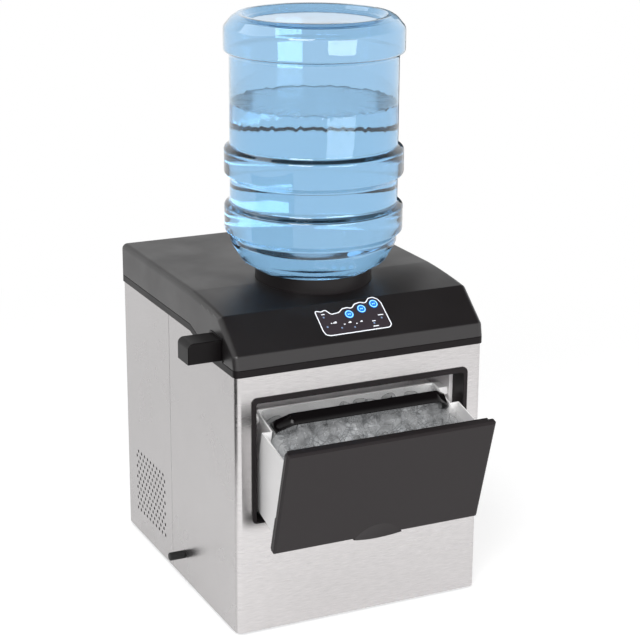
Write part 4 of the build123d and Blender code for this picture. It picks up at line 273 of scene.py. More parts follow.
def sides_group():
    """Mask that is high on the casing's left and right faces."""
    group, given, out = new_group(
        "Casing sides",
        [("Half width", "NodeSocketFloat", CASING_HALF)],
        [("Side", "NodeSocketFloat")],
    )
    place = group.nodes.new("ShaderNodeTexCoord")
    parts = group.nodes.new("ShaderNodeSeparateXYZ")
    size = group.nodes.new("ShaderNodeMath")
    size.operation = "ABSOLUTE"
    share = group.nodes.new("ShaderNodeMath")
    share.operation = "DIVIDE"
    step = group.nodes.new("ShaderNodeMapRange")
    step.inputs["From Min"].default_value = 0.988
    step.inputs["From Max"].default_value = 0.995
    group.links.new(place.outputs["Object"], parts.inputs["Vector"])
    group.links.new(parts.outputs["X"], size.inputs[0])
    group.links.new(size.outputs["Value"], share.inputs[0])
    group.links.new(given.outputs["Half width"], share.inputs[1])
    group.links.new(share.outputs["Value"], step.inputs["Value"])
    group.links.new(step.outputs["Result"], out.inputs["Side"])
    return group


GRAIN = grain_group()
SIDES = sides_group()
BRUSHED = brushed_group()
EDGES = edge_group()


class Finish:
    """A material under construction, with its shader and short ways to add nodes."""

    def __init__(self, name):
        self.material = bpy.data.materials.new(name)
        self.material.use_nodes = True
        self.tree = self.material.node_tree
        self.shader = self.tree.nodes["Principled BSDF"]

    def set(self, **values):
        """Plain values of the shader's own sockets."""
        for label, value in values.items():
            self.shader.inputs[label.replace("_", " ")].default_value = value
        return self

    def group(self, tree, **values):
        """A shared node group with this material's own values."""
        node = self.tree.nodes.new("ShaderNodeGroup")
        node.node_tree = tree
        for label, value in values.items():
            node.inputs[label.replace("_", " ")].default_value = value
        return node

    def link(self, output, label):
        """Feeds a socket of the shader."""
        self.tree.links.new(output, self.shader.inputs[label])

    def mix(self, mask, low, high):
        """Colour that goes from low to high by the mask; each is a colour or another node's colour."""
        node = self.tree.nodes.new("ShaderNodeMix")
        node.data_type = "RGBA"
        self.tree.links.new(mask, node.inputs["Factor"])
        for label, value in (("A", low), ("B", high)):
            if isinstance(value, bpy.types.NodeSocket):
                self.tree.links.new(value, node.inputs[label])
            else:
                node.inputs[label].default_value = value
        return node.outputs["Result"]

    def ranged(self, value, low, high, start=0.3, end=0.7):
        """Value that is low up to start and high past end, with a straight change between."""
        node = self.tree.nodes.new("ShaderNodeMapRange")
        node.inputs["From Min"].default_value = start
        node.inputs["From Max"].default_value = end
        node.inputs["To Min"].default_value = low
        node.inputs["To Max"].default_value = high
        self.tree.links.new(value, node.inputs["Value"])
        return node.outputs["Result"]

    def bump(self, height, distance, normal=None):
        """Relief of the given depth in metres, on top of another normal if there is one."""
        node = self.tree.nodes.new("ShaderNodeBump")
        node.inputs["Strength"].default_value = 1.0
        node.inputs["Distance"].default_value = distance
        self.tree.links.new(height, node.inputs["Height"])
        if normal is not None:
            self.tree.links.new(normal, node.inputs["Normal"])
        self.link(node.outputs["Normal"], "Normal")


def plastic(name, colour, roughness, grain=0.00004, scale=900.0, edge=0.0008, edge_highlight_gain=1.35, coat=0.0, shine=0.5):
    """Moulded plastic: grained, with a slow unevenness of tone and gloss, and a painted highlight that makes the edges
    lighter.
    """
    finish = Finish(name).set(Coat_Weight=coat, Coat_Roughness=0.06, Specular_IOR_Level=shine)
    grained = finish.group(GRAIN, Scale=scale)
    edges = finish.group(EDGES, Radius=edge)
    tone = finish.mix(finish.ranged(grained.outputs["Cloud"], 0.0, 0.5), colour, shade(colour, 1.12))
    # Painted highlight: along the edges the base colour is lightened by the given factor.
    edge_highlight_mask = finish.ranged(edges.outputs["Edge"], 0.0, 0.6, 0.0, 1.0)
    finish.link(finish.mix(edge_highlight_mask, tone, shade(colour, edge_highlight_gain)), "Base Color")
    finish.link(finish.ranged(grained.outputs["Cloud"], roughness * 0.88, roughness * 1.12), "Roughness")
    finish.bump(grained.outputs["Height"], grain, edges.outputs["Normal"])
    return finish.material


def brushed(name, colour, roughness, stretch, cloud, depth=0.00001):
    """Brushed sheet metal: hairlines on the front and back, a speckle on the two sides, and painted shade that makes
    the two sides darker than the front.
    """
    finish = Finish(name).set(Metallic=1.0)
    lines = finish.group(BRUSHED, Stretch=stretch, Cloud_stretch=cloud)
    grained = finish.group(GRAIN, Scale=900.0)
    edges = finish.group(EDGES, Radius=0.0006)
    hair = finish.ranged(lines.outputs["Height"], 0.0, 1.0, 0.3, 0.7)
    speck = finish.ranged(grained.outputs["Height"], 0.0, 1.0, 0.35, 0.65)
    front = finish.mix(hair, shade(colour, 0.9), shade(colour, 1.07))
    # Painted shade: the sides take a darker copy of the steel colour than the front and back.
    side = finish.mix(speck, shade(colour, 0.68), shade(colour, 0.84))
    on_side = finish.group(SIDES).outputs["Side"]
    finish.link(finish.mix(on_side, front, side), "Base Color")
    uneven = mixed(finish.tree, on_side, lines.outputs["Streak"], grained.outputs["Cloud"])
    finish.link(finish.ranged(uneven, roughness * 0.88, roughness * 1.12), "Roughness")
    height = mixed(finish.tree, on_side, lines.outputs["Height"], grained.outputs["Height"])
    finish.bump(height, depth, edges.outputs["Normal"])
    return finish.material


def metal(name, colour, roughness, scale=300.0, depth=0.00003):
    """Bare or plated metal with faint unevenness."""
    finish = Finish(name).set(Metallic=1.0)
    grained = finish.group(GRAIN, Scale=scale, Cloud_scale=30.0)
    edges = finish.group(EDGES, Radius=0.0004)
    finish.link(finish.mix(grained.outputs["Cloud"], shade(colour, 0.8), colour), "Base Color")
    finish.link(finish.ranged(grained.outputs["Cloud"], roughness * 0.8, roughness * 1.2), "Roughness")
    finish.bump(grained.outputs["Height"], depth, edges.outputs["Normal"])
    return finish.material


def clear(name, colour, roughness, ior, wave=0.00003, scale=60.0):
    """Clear or tinted plastic or water, with a faint waviness."""
    finish = Finish(name).set(Transmission_Weight=1.0, IOR=ior, Roughness=roughness)
    grained = finish.group(GRAIN, Scale=scale, Cloud_scale=8.0)
    finish.link(finish.mix(grained.outputs["Cloud"], colour, shade(colour, 1.03)), "Base Color")
    finish.bump(grained.outputs["Height"], wave)
    return finish.material


def facing(finish, blend):
    """Mask that is low where a surface faces the eye and high along its outline."""
    node = finish.tree.nodes.new("ShaderNodeLayerWeight")
    node.inputs["Blend"].default_value = blend
    return node.outputs["Facing"]


def sheer(name, colour, through, rim, dark, blend=0.35, start=0.3, bump=0.00003, scale=40.0, glow=0.0):
    """Clear thin plastic or ice: see-through where it faces the eye and denser, in another tone, along its outline;
    that outline is painted light and shade in place of what clear stuff reflects and bends there, and any glow is
    painted light.
    """
    # Painted light: a glow above nought makes the surface shine with light of its own.
    finish = Finish(name).set(Roughness=0.06, IOR=1.31, Emission_Strength=glow, Emission_Color=colour)
    grained = finish.group(GRAIN, Scale=scale, Cloud_scale=60.0)
    outline = facing(finish, blend)
    cloudy = finish.mix(grained.outputs["Cloud"], shade(colour, 0.9), colour)
    # Painted light and shade along the outline: the colour goes to the outline tone and the alpha rises where the
    # surface turns away from the eye.
    finish.link(finish.mix(finish.ranged(outline, 0.0, 1.0, 0.45, 0.85), cloudy, dark), "Base Color")
    finish.link(finish.ranged(outline, through, rim, start, 0.9), "Alpha")
    finish.bump(grained.outputs["Height"], bump)
    return finish.material


def frozen(name, colour, dark):
    """Cloudy ice with a melted, uneven skin, a darker outline that is painted shade, and a faint glow of its own that
    is painted light in place of light scattered inside the ice.
    """
    # Painted light: the emission makes the ice glow a little in its own colour.
    finish = Finish(name).set(Transmission_Weight=0.15, IOR=1.31, Roughness=0.08, Emission_Strength=0.13)
    grained = finish.group(GRAIN, Scale=210.0, Cloud_scale=90.0)
    edges = finish.group(EDGES, Radius=0.0011)
    cloudy = finish.mix(finish.ranged(grained.outputs["Cloud"], 0.0, 1.0), shade(colour, 0.88), colour)
    # Painted shade: the colour turns to the dark tone along the outline, where the ice turns away from the eye.
    tone = finish.mix(finish.ranged(facing(finish, 0.35), 0.0, 1.0, 0.6, 0.8), cloudy, dark)
    finish.link(tone, "Base Color")
    finish.link(tone, "Emission Color")
    finish.bump(grained.outputs["Height"], 0.00025, edges.outputs["Normal"])
    return finish.material


def lit(name, colour, strength):
    """Printed or backlit film with a little light of its own."""
    finish = Finish(name).set(Roughness=0.35, Emission_Strength=strength)
    grained = finish.group(GRAIN, Scale=500.0, Cloud_scale=60.0)
    tone = finish.mix(grained.outputs["Cloud"], shade(colour, 0.9), colour)
    finish.link(tone, "Base Color")
    finish.link(tone, "Emission Color")
    return finish.material


FINISHES = {}


class ICEMAKER_OT_finishes(bpy.types.Operator):
    """Mix every finish, by the record's slot name or by a piece's own name"""

    bl_idname = "icemaker.finishes"
    bl_label = "Finishes"

    def execute(self, context):
        chosen = context.scene.icemaker.colours
        picked = {name: tuple(getattr(chosen, name)) for name in ICEMAKER_PG_colours.__annotations__}
        cover = picked["cover"]
        # Painted reflection: the tone of the water's surface, shown as a half-opaque sheet with a glow of its own in
        # place of what the surface reflects and bends.
        surface = linear(150, 176, 190)
        FINISHES.update({
            "sheet_steel": brushed("Brushed sheet", picked["steel"], 0.26, (70, 70, 1100), (3, 3, 50)),
            "pan_steel": metal("Galvanised pan", linear(170, 172, 175), 0.45),
            "screw_steel": metal("Bright steel", linear(205, 205, 205), 0.25),
            # Each plastic's edge factor below sets how much its painted edge highlight lightens the colour.
            "cover_plastic": plastic("Charcoal cover", cover, 0.4, grain=0.00002, scale=700.0, edge_highlight_gain=2.0, shine=0.8),
            "rim_plastic": plastic("Cover rim", cover, 0.38, grain=0.00002, scale=700.0, edge_highlight_gain=1.8, shine=0.15),
            "bezel_plastic": plastic("Bezel", picked["bezel"], 0.36, grain=0.00002, scale=700.0, edge_highlight_gain=1.4, shine=0.15),
            "panel_plastic": plastic("Drawer panel", picked["panel"], 0.4, grain=0.00002, scale=800.0, edge=0.0006,
                                     edge_highlight_gain=1.6, shine=0.3),
            "liner_plastic": plastic("Cavity liner", picked["liner"], 0.4, edge_highlight_gain=1.05),
            "white_plastic": plastic("White plastic", picked["white"], 0.35, grain=0.00002, edge_highlight_gain=1.04),
            "handle_plastic": plastic("Handle", picked["handle"], 0.14, grain=0.000004, edge=0.001, edge_highlight_gain=1.5,
                                      shine=0.25),
            "collar_plastic": plastic("Bottle collar", cover, 0.34, edge_highlight_gain=2.0, shine=0.32),
            "spout_plastic": plastic("Spout", shade(cover, 0.5), 0.34, edge_highlight_gain=2.6, shine=0.15),
            "motor_shell": plastic("Dark moulding", linear(48, 48, 52), 0.5),
            "rubber_black": plastic("Black rubber", linear(24, 24, 24), 0.62, grain=0.00008, scale=700.0, edge_highlight_gain=1.6),
            "compressor_paint": plastic("Compressor paint", linear(30, 30, 32), 0.25, coat=0.5),
            "circuit_board": plastic("Circuit board", linear(30, 98, 58), 0.35, scale=400.0),
            "overlay_film": plastic("Control film", linear(50, 44, 49), 0.3, grain=0.00001, edge=0.0002, edge_highlight_gain=1.1),
            "cold_metal": metal("Plated evaporator", linear(208, 208, 210), 0.2),
            "fin_aluminium": metal("Condenser fins", linear(196, 198, 200), 0.35),
            "copper_pipe": metal("Copper pipe", linear(204, 140, 106), 0.3),
            # Painted light and shade: the clear basket grows denser, in a slightly greyer tone, along its outline.
            "clear_plastic": sheer("Clear basket", linear(236, 237, 238), 0.1, 0.5, linear(225, 228, 230)),
            "bottle_plastic": clear("Blue bottle", picked["bottle"], 0.02, 1.5, wave=0.0002, scale=14.0),
            "cap_plastic": plastic("Bottle cap", linear(215, 225, 235), 0.35),
            "hose_rubber": plastic("Milky hose", linear(205, 205, 198), 0.4, coat=0.3),
            "button_plastic": lit("Backlit button", picked["button"], 0.35),
            "lamp_plastic": lit("Lamp lens", linear(120, 140, 172), 0.1),
            "water": clear("Water", picked["water"], 0.0, 1.33, wave=0.0001, scale=40.0),
            # Painted shade: the dark colours of the two ices are the tones of their painted outlines.
            "ice_clear": sheer("Clear ice", picked["ice"], 0.1, 0.9, linear(46, 49, 52), start=0.42, bump=0.0005,
                               scale=150.0),
            "ice_cloudy": frozen("Cloudy ice", picked["ice"], linear(78, 82, 86)),
            # Painted reflection and painted light: a half-opaque sheet in the surface tone that glows a little.
            "water_top": sheer("Water surface", surface, 0.62, 0.66, surface, blend=0.2, glow=0.5),
            "print_white": lit("White print", picked["print_white"], 0.25),
            "print_cyan": lit("Pale blue print", picked["button_ring"], 0.4),
        })
        return {"FINISHED"}


# Mesh helpers

def add_piece(name, verts, faces, finish, body, smooth=True):
    """Mesh piece in metres with a finish, riding on a body."""
    mesh = bpy.data.meshes.new(name)
    mesh.from_pydata(verts, [], faces)
    mesh.update()
    piece = bpy.data.objects.new(name, mesh)
    bpy.context.scene.collection.objects.link(piece)
    mesh.materials.append(FINISHES[finish])
    mesh.polygons.foreach_set("use_smooth", [smooth] * len(mesh.polygons))
    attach(piece, body)
    return piece


def rounded(points, radius, steps=6):
    """Open line of (a, b) points whose inner corners are rounded by arcs; radius is one value or one per point."""
    radii = radius if isinstance(radius, (list, tuple)) else [radius] * len(points)
    line = [Vector(points[0])]
    for index in range(1, len(points) - 1):
        corner = Vector(points[index])
        before = Vector(points[index - 1]) - corner
        after = Vector(points[index + 1]) - corner
        half = before.angle(after) / 2
        if radii[index] <= 0 or abs(half - math.pi / 2) < 0.02:
            line.append(corner)
            continue
        reach = min(radii[index] / math.tan(half), 0.49 * before.length, 0.49 * after.length)
        start = corner + before.normalized() * reach
        end = corner + after.normalized() * reach
        for step in range(steps + 1):
            share = step / steps
            line.append(start.lerp(corner, share).lerp(corner.lerp(end, share), share))
    line.append(Vector(points[-1]))
    return [(point.x, point.y) for point in line]


def lathe(name, profile, centre, finish, body, turns):
    """Closed surface turned from (radius, height) points in metres about an upright axis."""
    verts, faces = [], []
    count = len(profile)
    for turn in range(turns):
        angle = 2 * math.pi * turn / turns
        for radius, height in profile:
            verts.append((centre[0] + radius * math.cos(angle), centre[1] + radius * math.sin(angle), height))
    for turn in range(turns):
        here = turn * count
        there = (turn + 1) % turns * count
        for row in range(count - 1):
            faces.append((here + row, there + row, there + row + 1, here + row + 1))
    piece = add_piece(name, verts, faces, finish, body)
    tidy(piece)
    return piece


def tidy(piece):
    """Joins doubled points and turns every face outwards."""
    work = bmesh.new()
    work.from_mesh(piece.data)
    bmesh.ops.remove_doubles(work, verts=work.verts, dist=1e-6)
    bmesh.ops.recalc_face_normals(work, faces=work.faces)
    work.to_mesh(piece.data)
    work.free()


# Bottle and its water

BOTTLE_AXIS = ((BOTTLE_LOW.x + BOTTLE_HIGH.x) / 2, (BOTTLE_LOW.y + BOTTLE_HIGH.y) / 2)
PROFILE_FOOT = 396.0
BOTTLE_OUTER = (
    (27.4, 396.2), (27.4, 436.5), (66, 446.1), (79.8, 454.1), (99.5, 466), (113.8, 490.8), (113.8, 502.6),
    (121.6, 507.6), (121.6, 541.2), (113.8, 546.2), (113.8, 580.6), (121.6, 585.6), (121.6, 619.2),
    (113.8, 624.2), (113.8, 745.3), (121.4, 750.3), (121.4, 781), (111, 793.6), (103, 798.5), (97, 798.5),
    (91, 791), (0, 789.5),
)
BOTTLE_BENDS = (0, 8, 20, 14, 24, 22, 6, 5, 5, 6, 6, 5, 5, 6, 6, 5, 9, 8, 5, 4, 6, 0)
WATER_FOOT = 400
WATER_BITE = 0.15  # how far the water reaches into the wall, so that no film of air shows
MENISCUS = ((0, -1), (0.6, 1.2), (3, -0.6))  # inwards from the wall and up from the level
SURFACE_RINGS = 9
RING_SHARE = 0.4
WAVELETS = (11, 23, 37, 53)  # waves round the rim
WAVE_SHARE = 0.7
WAVE_FALL = 6  # power by which the waves die away from the wall
SURFACE_DEPTH = 0.004


def fit_points(points):
    """Points of (radius, height) in millimetres on the bottle's drawing, as metres above the worktop."""
    return [(radius * MM, BOTTLE_LOW.z + (height - PROFILE_FOOT) * MM) for radius, height in points]


def inset(points, wall):
    """Line moved inwards by the wall: towards the axis and the middle of the bottle."""
    moved = []
    for index, (radius, height) in enumerate(points):
        before = Vector(points[max(0, index - 1)])
        after = Vector(points[min(len(points) - 1, index + 1)])
        along = (after - before).normalized()
        moved.append((max(0.0, radius - along.y * wall) if radius else 0.0, height + along.x * wall))
    return moved


class ICEMAKER_OT_bottle(bpy.types.Operator):
    """Build the blue bottle with its double wall and the water inside it"""

    bl_idname = "icemaker.bottle"
    bl_label = "Bottle and water"

    def execute(self, context):
        sizes = context.scene.icemaker.bottle
        wall = sizes.wall / MM
        level = PROFILE_FOOT + (sizes.water_level - BOTTLE_LOW.z) / MM
        ripple = sizes.ripple / MM
        outer = rounded(BOTTLE_OUTER, BOTTLE_BENDS)
        inner = inset(outer, wall)
        shell = outer + inner[::-1] + [outer[0]]
        bottle = lathe("bottle_shell", fit_points(shell), BOTTLE_AXIS, "bottle_plastic", "bottle", sizes.turns)
        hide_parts("water_bottle")
        wetted = inset(outer, wall - WATER_BITE)
        wet = [(radius, height) for radius, height in wetted if WATER_FOOT < height < level - 3]
        edge = wet[-1][0]
        meniscus = [(edge - inwards, level + rise) for inwards, rise in MENISCUS]
        surface = [
            (edge * (SURFACE_RINGS - ring) / (SURFACE_RINGS + 1), level + RING_SHARE * ripple * (-1) ** ring)
            for ring in range(SURFACE_RINGS)
        ]
        profile = [(0, WATER_FOOT)] + wet + meniscus + surface + [(0, level)]
        water = lathe("bottle_water", fit_points(profile), BOTTLE_AXIS, "water", "bottle", sizes.turns)
        water.data.materials.append(FINISHES["water_top"])
        for point in water.data.vertices:
            if point.co.z > sizes.water_level - SURFACE_DEPTH:
                from_axis = Vector((point.co.x - BOTTLE_AXIS[0], point.co.y - BOTTLE_AXIS[1]))
                turn = math.atan2(from_axis.y, from_axis.x)
                reach = min(1.0, from_axis.length / (edge * MM)) ** WAVE_FALL
                waves = sum(math.sin(turn * count + count) for count in WAVELETS)
                point.co.z += WAVE_SHARE * reach * sizes.ripple * waves
        for face in water.data.polygons:
            if face.normal.z > 0.5 and face.center.z > sizes.water_level - SURFACE_DEPTH:
                face.material_index = 1
        return {"FINISHED"}


# Ice

TILT = math.radians(16)
DRAWER_FOOT = Vector((0, -0.26425, 0.1357))
DRAWER_IN = Vector((0, math.cos(TILT), math.sin(TILT)))
DRAWER_UP = Vector((0, -math.sin(TILT), math.cos(TILT)))


def in_drawer(across, inward, up):
    """Point of the row frame, in metres, from millimetres across, into and up the drawer."""
    return Vector((across * MM, 0, 0)) + DRAWER_FOOT + DRAWER_IN * inward * MM + DRAWER_UP * up * MM


# One bullet of ice: shares of its radius and of its length, from the round end to the hollow in the other
ICE_PROFILE = (
    (0, -0.52), (0.52, -0.48), (0.83, -0.34), (0.97, -0.14), (1.0, 0.14), (0.97, 0.41), (0.88, 0.48), (0.6, 0.48),
    (0.5, 0.2), (0.4, -0.14), (0, -0.24),
)


def ice_piece(radius, length, turns=16):
    """One bullet of ice with the hollow left by its freezing finger, in metres about its middle."""
    verts, faces = [], []
    count = len(ICE_PROFILE)
    for turn in range(turns):
        angle = 2 * math.pi * turn / turns
        for out, along in ICE_PROFILE:
            verts.append(Vector((out * radius * math.cos(angle), out * radius * math.sin(angle), along * length)))
    for turn in range(turns):
        here, there = turn * count, (turn + 1) % turns * count
        for row in range(count - 1):
            faces.append((here + row, there + row, there + row + 1, here + row + 1))
    return verts, faces


# The heap in millimetres up, across and into the drawer; each layer has its height and its shift across
CLOUDY_LAYERS = ((38, 0), (58, 4.5), (78, 0), (96, 3.5))
CLEAR_LAYERS = ((110, 1), (122, 4))
HEAP_HALF_W = 114
FIRST_ROW = 32
ROW_PITCH = 22.5
HEAP_FALL = {0: 5, -1: 7}  # how much lower the first and the last row lie
LESS_STRAY = 0.8  # share of the stray that is used inwards and upwards
SMALLEST = 0.86  # share of full size
FULL_TURN = 6.28


def heap(name, layers, sizes, draw, finish):
    """Layers of ice pieces in the basket, each piece turned and placed a little at random."""
    stray = sizes.spread / MM
    shape, skin = ice_piece(sizes.radius, sizes.length)
    verts, faces = [], []
    for level, shift in layers:
        for column in range(sizes.columns):
            for row in range(sizes.rows):
                share = column / max(1, sizes.columns - 1)
                across = HEAP_HALF_W * (2 * share - 1) + draw.uniform(-stray, stray) + shift
                inward = FIRST_ROW + row * ROW_PITCH + draw.uniform(-stray, stray) * LESS_STRAY
                fall = HEAP_FALL.get(row - sizes.rows, HEAP_FALL.get(row, 0))
                up = level + draw.uniform(-stray, stray) * LESS_STRAY - fall
                across = max(-HEAP_HALF_W, min(HEAP_HALF_W, across))
                about_x = Matrix.Rotation(draw.uniform(0, FULL_TURN), 4, "X")
                turn = about_x @ Matrix.Rotation(draw.uniform(0, FULL_TURN), 4, "Y")
                size = draw.uniform(SMALLEST, 1.0)
                middle = in_drawer(across, inward, up)
                base = len(verts)
                verts += [middle + turn @ (point * size) for point in shape]
                faces += [tuple(index + base for index in face) for face in skin]
    add_piece(name, verts, faces, finish, "ice_basket")


class ICEMAKER_OT_ice(bpy.types.Operator):
    """Heap the ice in the basket, cloudy below and clear on top"""

    bl_idname = "icemaker.ice"
    bl_label = "Ice"

    def execute(self, context):
        sizes = context.scene.icemaker.ice
        draw = random.Random(sizes.seed)
        heap("ice_heap", CLOUDY_LAYERS, sizes, draw, "ice_cloudy")
        heap("ice_top", CLEAR_LAYERS, sizes, draw, "ice_clear")
        return {"FINISHED"}


# Handle

HANDLE_LEAN = math.radians(31)
HANDLE_PIVOT = in_drawer(0, 111, 106)
HANDLE_PATH = ((-128.4, -6), (-128.4, 37), (-108, 55), (108, 55), (128.4, 37), (128.4, -6))
STRAP_CHAMFER = 0.0007


class ICEMAKER_OT_handle(bpy.types.Operator):
    """Bend the glossy strap handle of the basket"""

    bl_idname = "icemaker.handle"
    bl_label = "Handle"

    def execute(self, context):
        sizes = context.scene.icemaker.handle
        up = DRAWER_UP * math.cos(HANDLE_LEAN) - DRAWER_IN * math.sin(HANDLE_LEAN)
        side = DRAWER_IN * math.cos(HANDLE_LEAN) + DRAWER_UP * math.sin(HANDLE_LEAN)
        line = rounded(HANDLE_PATH, (0, *[sizes.bend / MM] * 4, 0), 8)
        half = sizes.width / 2
        deep = sizes.thickness
        low, high = STRAP_CHAMFER, deep - STRAP_CHAMFER
        section = ((0, low - half), (low, -half), (high, -half), (deep, low - half),
                   (deep, half - low), (high, half), (low, half), (0, half - low))
        verts, faces = [], []
        for index, spot in enumerate(line):
            before = Vector(line[max(0, index - 1)])
            after = Vector(line[min(len(line) - 1, index + 1)])
            along = (after - before).normalized()
            for depth, width in section:
                across = spot[0] * MM + along.y * depth
                rise = spot[1] * MM - along.x * depth
                verts.append(HANDLE_PIVOT + Vector((across, 0, 0)) + up * rise + side * width)
        count = len(section)
        for index in range(len(line) - 1):
            here, there = index * count, (index + 1) * count
            for k in range(count):
                faces.append((here + k, here + (k + 1) % count, there + (k + 1) % count, there + k))
        faces.append(tuple(range(count)))
        faces.append(tuple(range(len(verts) - count, len(verts))))
        handle = add_piece("handle_strap", verts, faces, "handle_plastic", "basket_handle")
        tidy(handle)
        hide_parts("basket_handle")
        return {"FINISHED"}


# Controls

SLOPE_ANGLE = math.radians(39.575)
SLOPE_FOOT = Vector((0, -0.21025, 0.3945))
SLOPE_UP = Vector((0, math.cos(SLOPE_ANGLE), math.sin(SLOPE_ANGLE)))
SLOPE_OUT = Vector((0, -math.sin(SLOPE_ANGLE), math.cos(SLOPE_ANGLE)))
FILM_TOP = 0.9
PRINT_SINK = 0.05  # how far print reaches into what it lies on
FILM_PRINT = (FILM_TOP - PRINT_SINK, FILM_TOP + 0.08)
OVERLAY = (
    (-51, 52.9), (-42.2, 49.9), (-35.7, 52.6), (-29.7, 44.3), (-17.9, 45.7), (-11, 50.8), (-3.3, 51.6),
    (2.7, 49.4), (8.4, 55.4), (17, 57.3), (25.2, 54.9), (31.2, 61.6), (37.8, 62.5), (44.1, 59.1), (47.3, 52.4),
    (49.8, 17.1), (45.9, 12.8), (-41.4, 12), (-47.4, 14), (-49.6, 19.9),
)


def on_slope(across, up, out):
    """Point of the row frame, in metres, from millimetres across, up and out of the control slope."""
    return SLOPE_FOOT + Vector((across * MM, 0, 0)) + SLOPE_UP * up * MM + SLOPE_OUT * out * MM


def band(name, outline, width, low, high, finish, body):
    """Closed flat band along an outline on the slope."""
    verts, faces = [], []
    count = len(outline)
    for index, spot in enumerate(outline):
        here = Vector(spot)
        before = (here - Vector(outline[index - 1])).normalized()
        after = (Vector(outline[(index + 1) % count]) - here).normalized()
        along = (before + after).normalized()
        out = Vector((along.y, -along.x)) * width / 2
        for corner, height in ((here + out, low), (here + out, high), (here - out, high), (here - out, low)):
            verts.append(on_slope(corner.x, corner.y, height))
    for index in range(count):
        here, there = 4 * index, 4 * ((index + 1) % count)
        for k in range(4):
            faces.append((here + k, here + (k + 1) % 4, there + (k + 1) % 4, there + k))
    return add_piece(name, verts, faces, finish, body, smooth=False)


def circle(centre, radius, count=40):
    """Points round a circle."""
    turns = [2 * math.pi * k / count for k in range(count)]
    return [(centre[0] + radius * math.cos(turn), centre[1] + radius * math.sin(turn)) for turn in turns]


def tile(outline, low, high):
    """Faces of a thin prism over an outline on the slope."""
    count = len(outline)
    verts = [on_slope(x, y, low) for x, y in outline] + [on_slope(x, y, high) for x, y in outline]
    faces = [tuple(range(count, 2 * count)), tuple(reversed(range(count)))]
    faces += [(k, (k + 1) % count, count + (k + 1) % count, count + k) for k in range(count)]
    return verts, faces


def join_tiles(name, outlines, low, high, finish, body):
    """One piece of several thin prisms on the slope."""
    verts, faces = [], []
    for outline in outlines:
        more, skin = tile(outline, low, high)
        faces += [tuple(index + len(verts) for index in face) for face in skin]
        verts += more
    return add_piece(name, verts, faces, finish, body, smooth=False)


def bar(x, y, width, height):
    """Outline of a small rectangle."""
    return [(x - width / 2, y - height / 2), (x + width / 2, y - height / 2),
            (x + width / 2, y + height / 2), (x - width / 2, y + height / 2)]


BUTTON_TOP = 1.8
BUTTON_PRINT = (BUTTON_TOP - PRINT_SINK, BUTTON_TOP + 0.06)
BUTTON_SIGN = ((-1.5, 0.9, 2.2), (1.5, 0.9, 2.2), (0, 2.4, 0.8))  # bars: place across, width, height
BUTTONS = ((-4.5, 40.6), (15.8, 46.5), (35.6, 51.8))
BARS = (
    (-41.1, 45.7, 5), (26.9, 25.7, 5), (27.2, 17.5, 8), (39.7, 33.8, 8), (-33.9, 30.5, 2), (-16, 26.6, 2.4),
    (1.5, 25.4, 2),
)
BAR_H = 1.3
CUBES = ((-29.6, 30.6, 1.8), (-8.4, 28.2, 1.6), (8.4, 27.4, 1.3))


class ICEMAKER_OT_controls(bpy.types.Operator):
    """Print the outline and signs on the control film and ring the buttons"""

    bl_idname = "icemaker.controls"
    bl_label = "Controls"

    def execute(self, context):
        sizes = context.scene.icemaker.controls
        closed = rounded([OVERLAY[-1], *OVERLAY, OVERLAY[0]], 5.0, 5)[1:-1]
        line = band("film_outline", closed, sizes.line / MM, *FILM_PRINT, "print_white", "housing")
        for number, (across, up) in enumerate(BUTTONS, start=1):
            body = f"button_{number}"
            round_it = circle((across, up), sizes.ring_radius / MM)
            ring = band(f"button_ring_{number}", round_it, sizes.ring / MM, *BUTTON_PRINT, "print_cyan", body)
            sign = [bar(across + shift, up, width, height) for shift, width, height in BUTTON_SIGN]
            mark = join_tiles(f"button_sign_{number}", sign, *BUTTON_PRINT, "print_cyan", body)
        signs = [bar(x, y, width, BAR_H) for x, y, width in BARS]
        for x, y, size in CUBES:
            signs += [bar(x - size / 2, y, size, size), bar(x + size, y + size * 0.3, size * 1.5, size * 1.6)]
        marks = join_tiles("film_signs", signs, *FILM_PRINT, "print_white", "housing")
        return {"FINISHED"}


class ICEMAKER_OT_solids(bpy.types.Operator):
    """Give every carried-over solid its finish"""

    bl_idname = "icemaker.solids"
    bl_label = "Solids"

    def execute(self, context):
        for name, node in frame["nodes"].items():
            node.data.materials.clear()
            node.data.materials.append(FINISHES[SLOTS[name]])
        return {"FINISHED"}


# Stage

CAMERA_AT = Vector((-1.0421, -2.2600, 1.1371))
LAMPS = (
    ("key", (-1.7, -1.9, 2.0), 1.4, 1.4),
    ("front", (0.4, -2.4, 0.75), 1.6, 0.9),
    ("back", (-1.3, 0.9, 2.2), 1.5, 1.5),
)
LIT_SPOT = Vector((0, 0, 0.33))
# Dark cloths that show only in reflections: name, one end and the other on the floor plan, low and high edge
FLAGS = (
    ("flag_left", (-0.75, -0.7), (-0.75, 0.15), 0.0, 0.45),
    ("flag_bottle", (0.16, 0.075), (0.218, 0.015), 0.5, 0.86),
)


def area_light(name, place, width, height, power):
    """Soft lamp that points at the middle of the machine."""
    light = bpy.data.lights.new(name, "AREA")
    light.shape = "RECTANGLE"
    light.size = width
    light.size_y = height
    light.energy = power
    lamp = bpy.data.objects.new(name, light)
    bpy.context.scene.collection.objects.link(lamp)
    lamp.location = place
    lamp.rotation_euler = (LIT_SPOT - Vector(place)).to_track_quat("-Z", "Y").to_euler()
    return lamp


def ray_mask(tree, *labels):
    """Mask of the rays with any of the Light Path labels."""
    path = tree.nodes.new("ShaderNodeLightPath")
    total = path.outputs[labels[0]]
    for label in labels[1:]:
        node = tree.nodes.new("ShaderNodeMath")
        node.operation = "MAXIMUM"
        tree.links.new(total, node.inputs[0])
        tree.links.new(path.outputs[label], node.inputs[1])
        total = node.outputs["Value"]
    return total


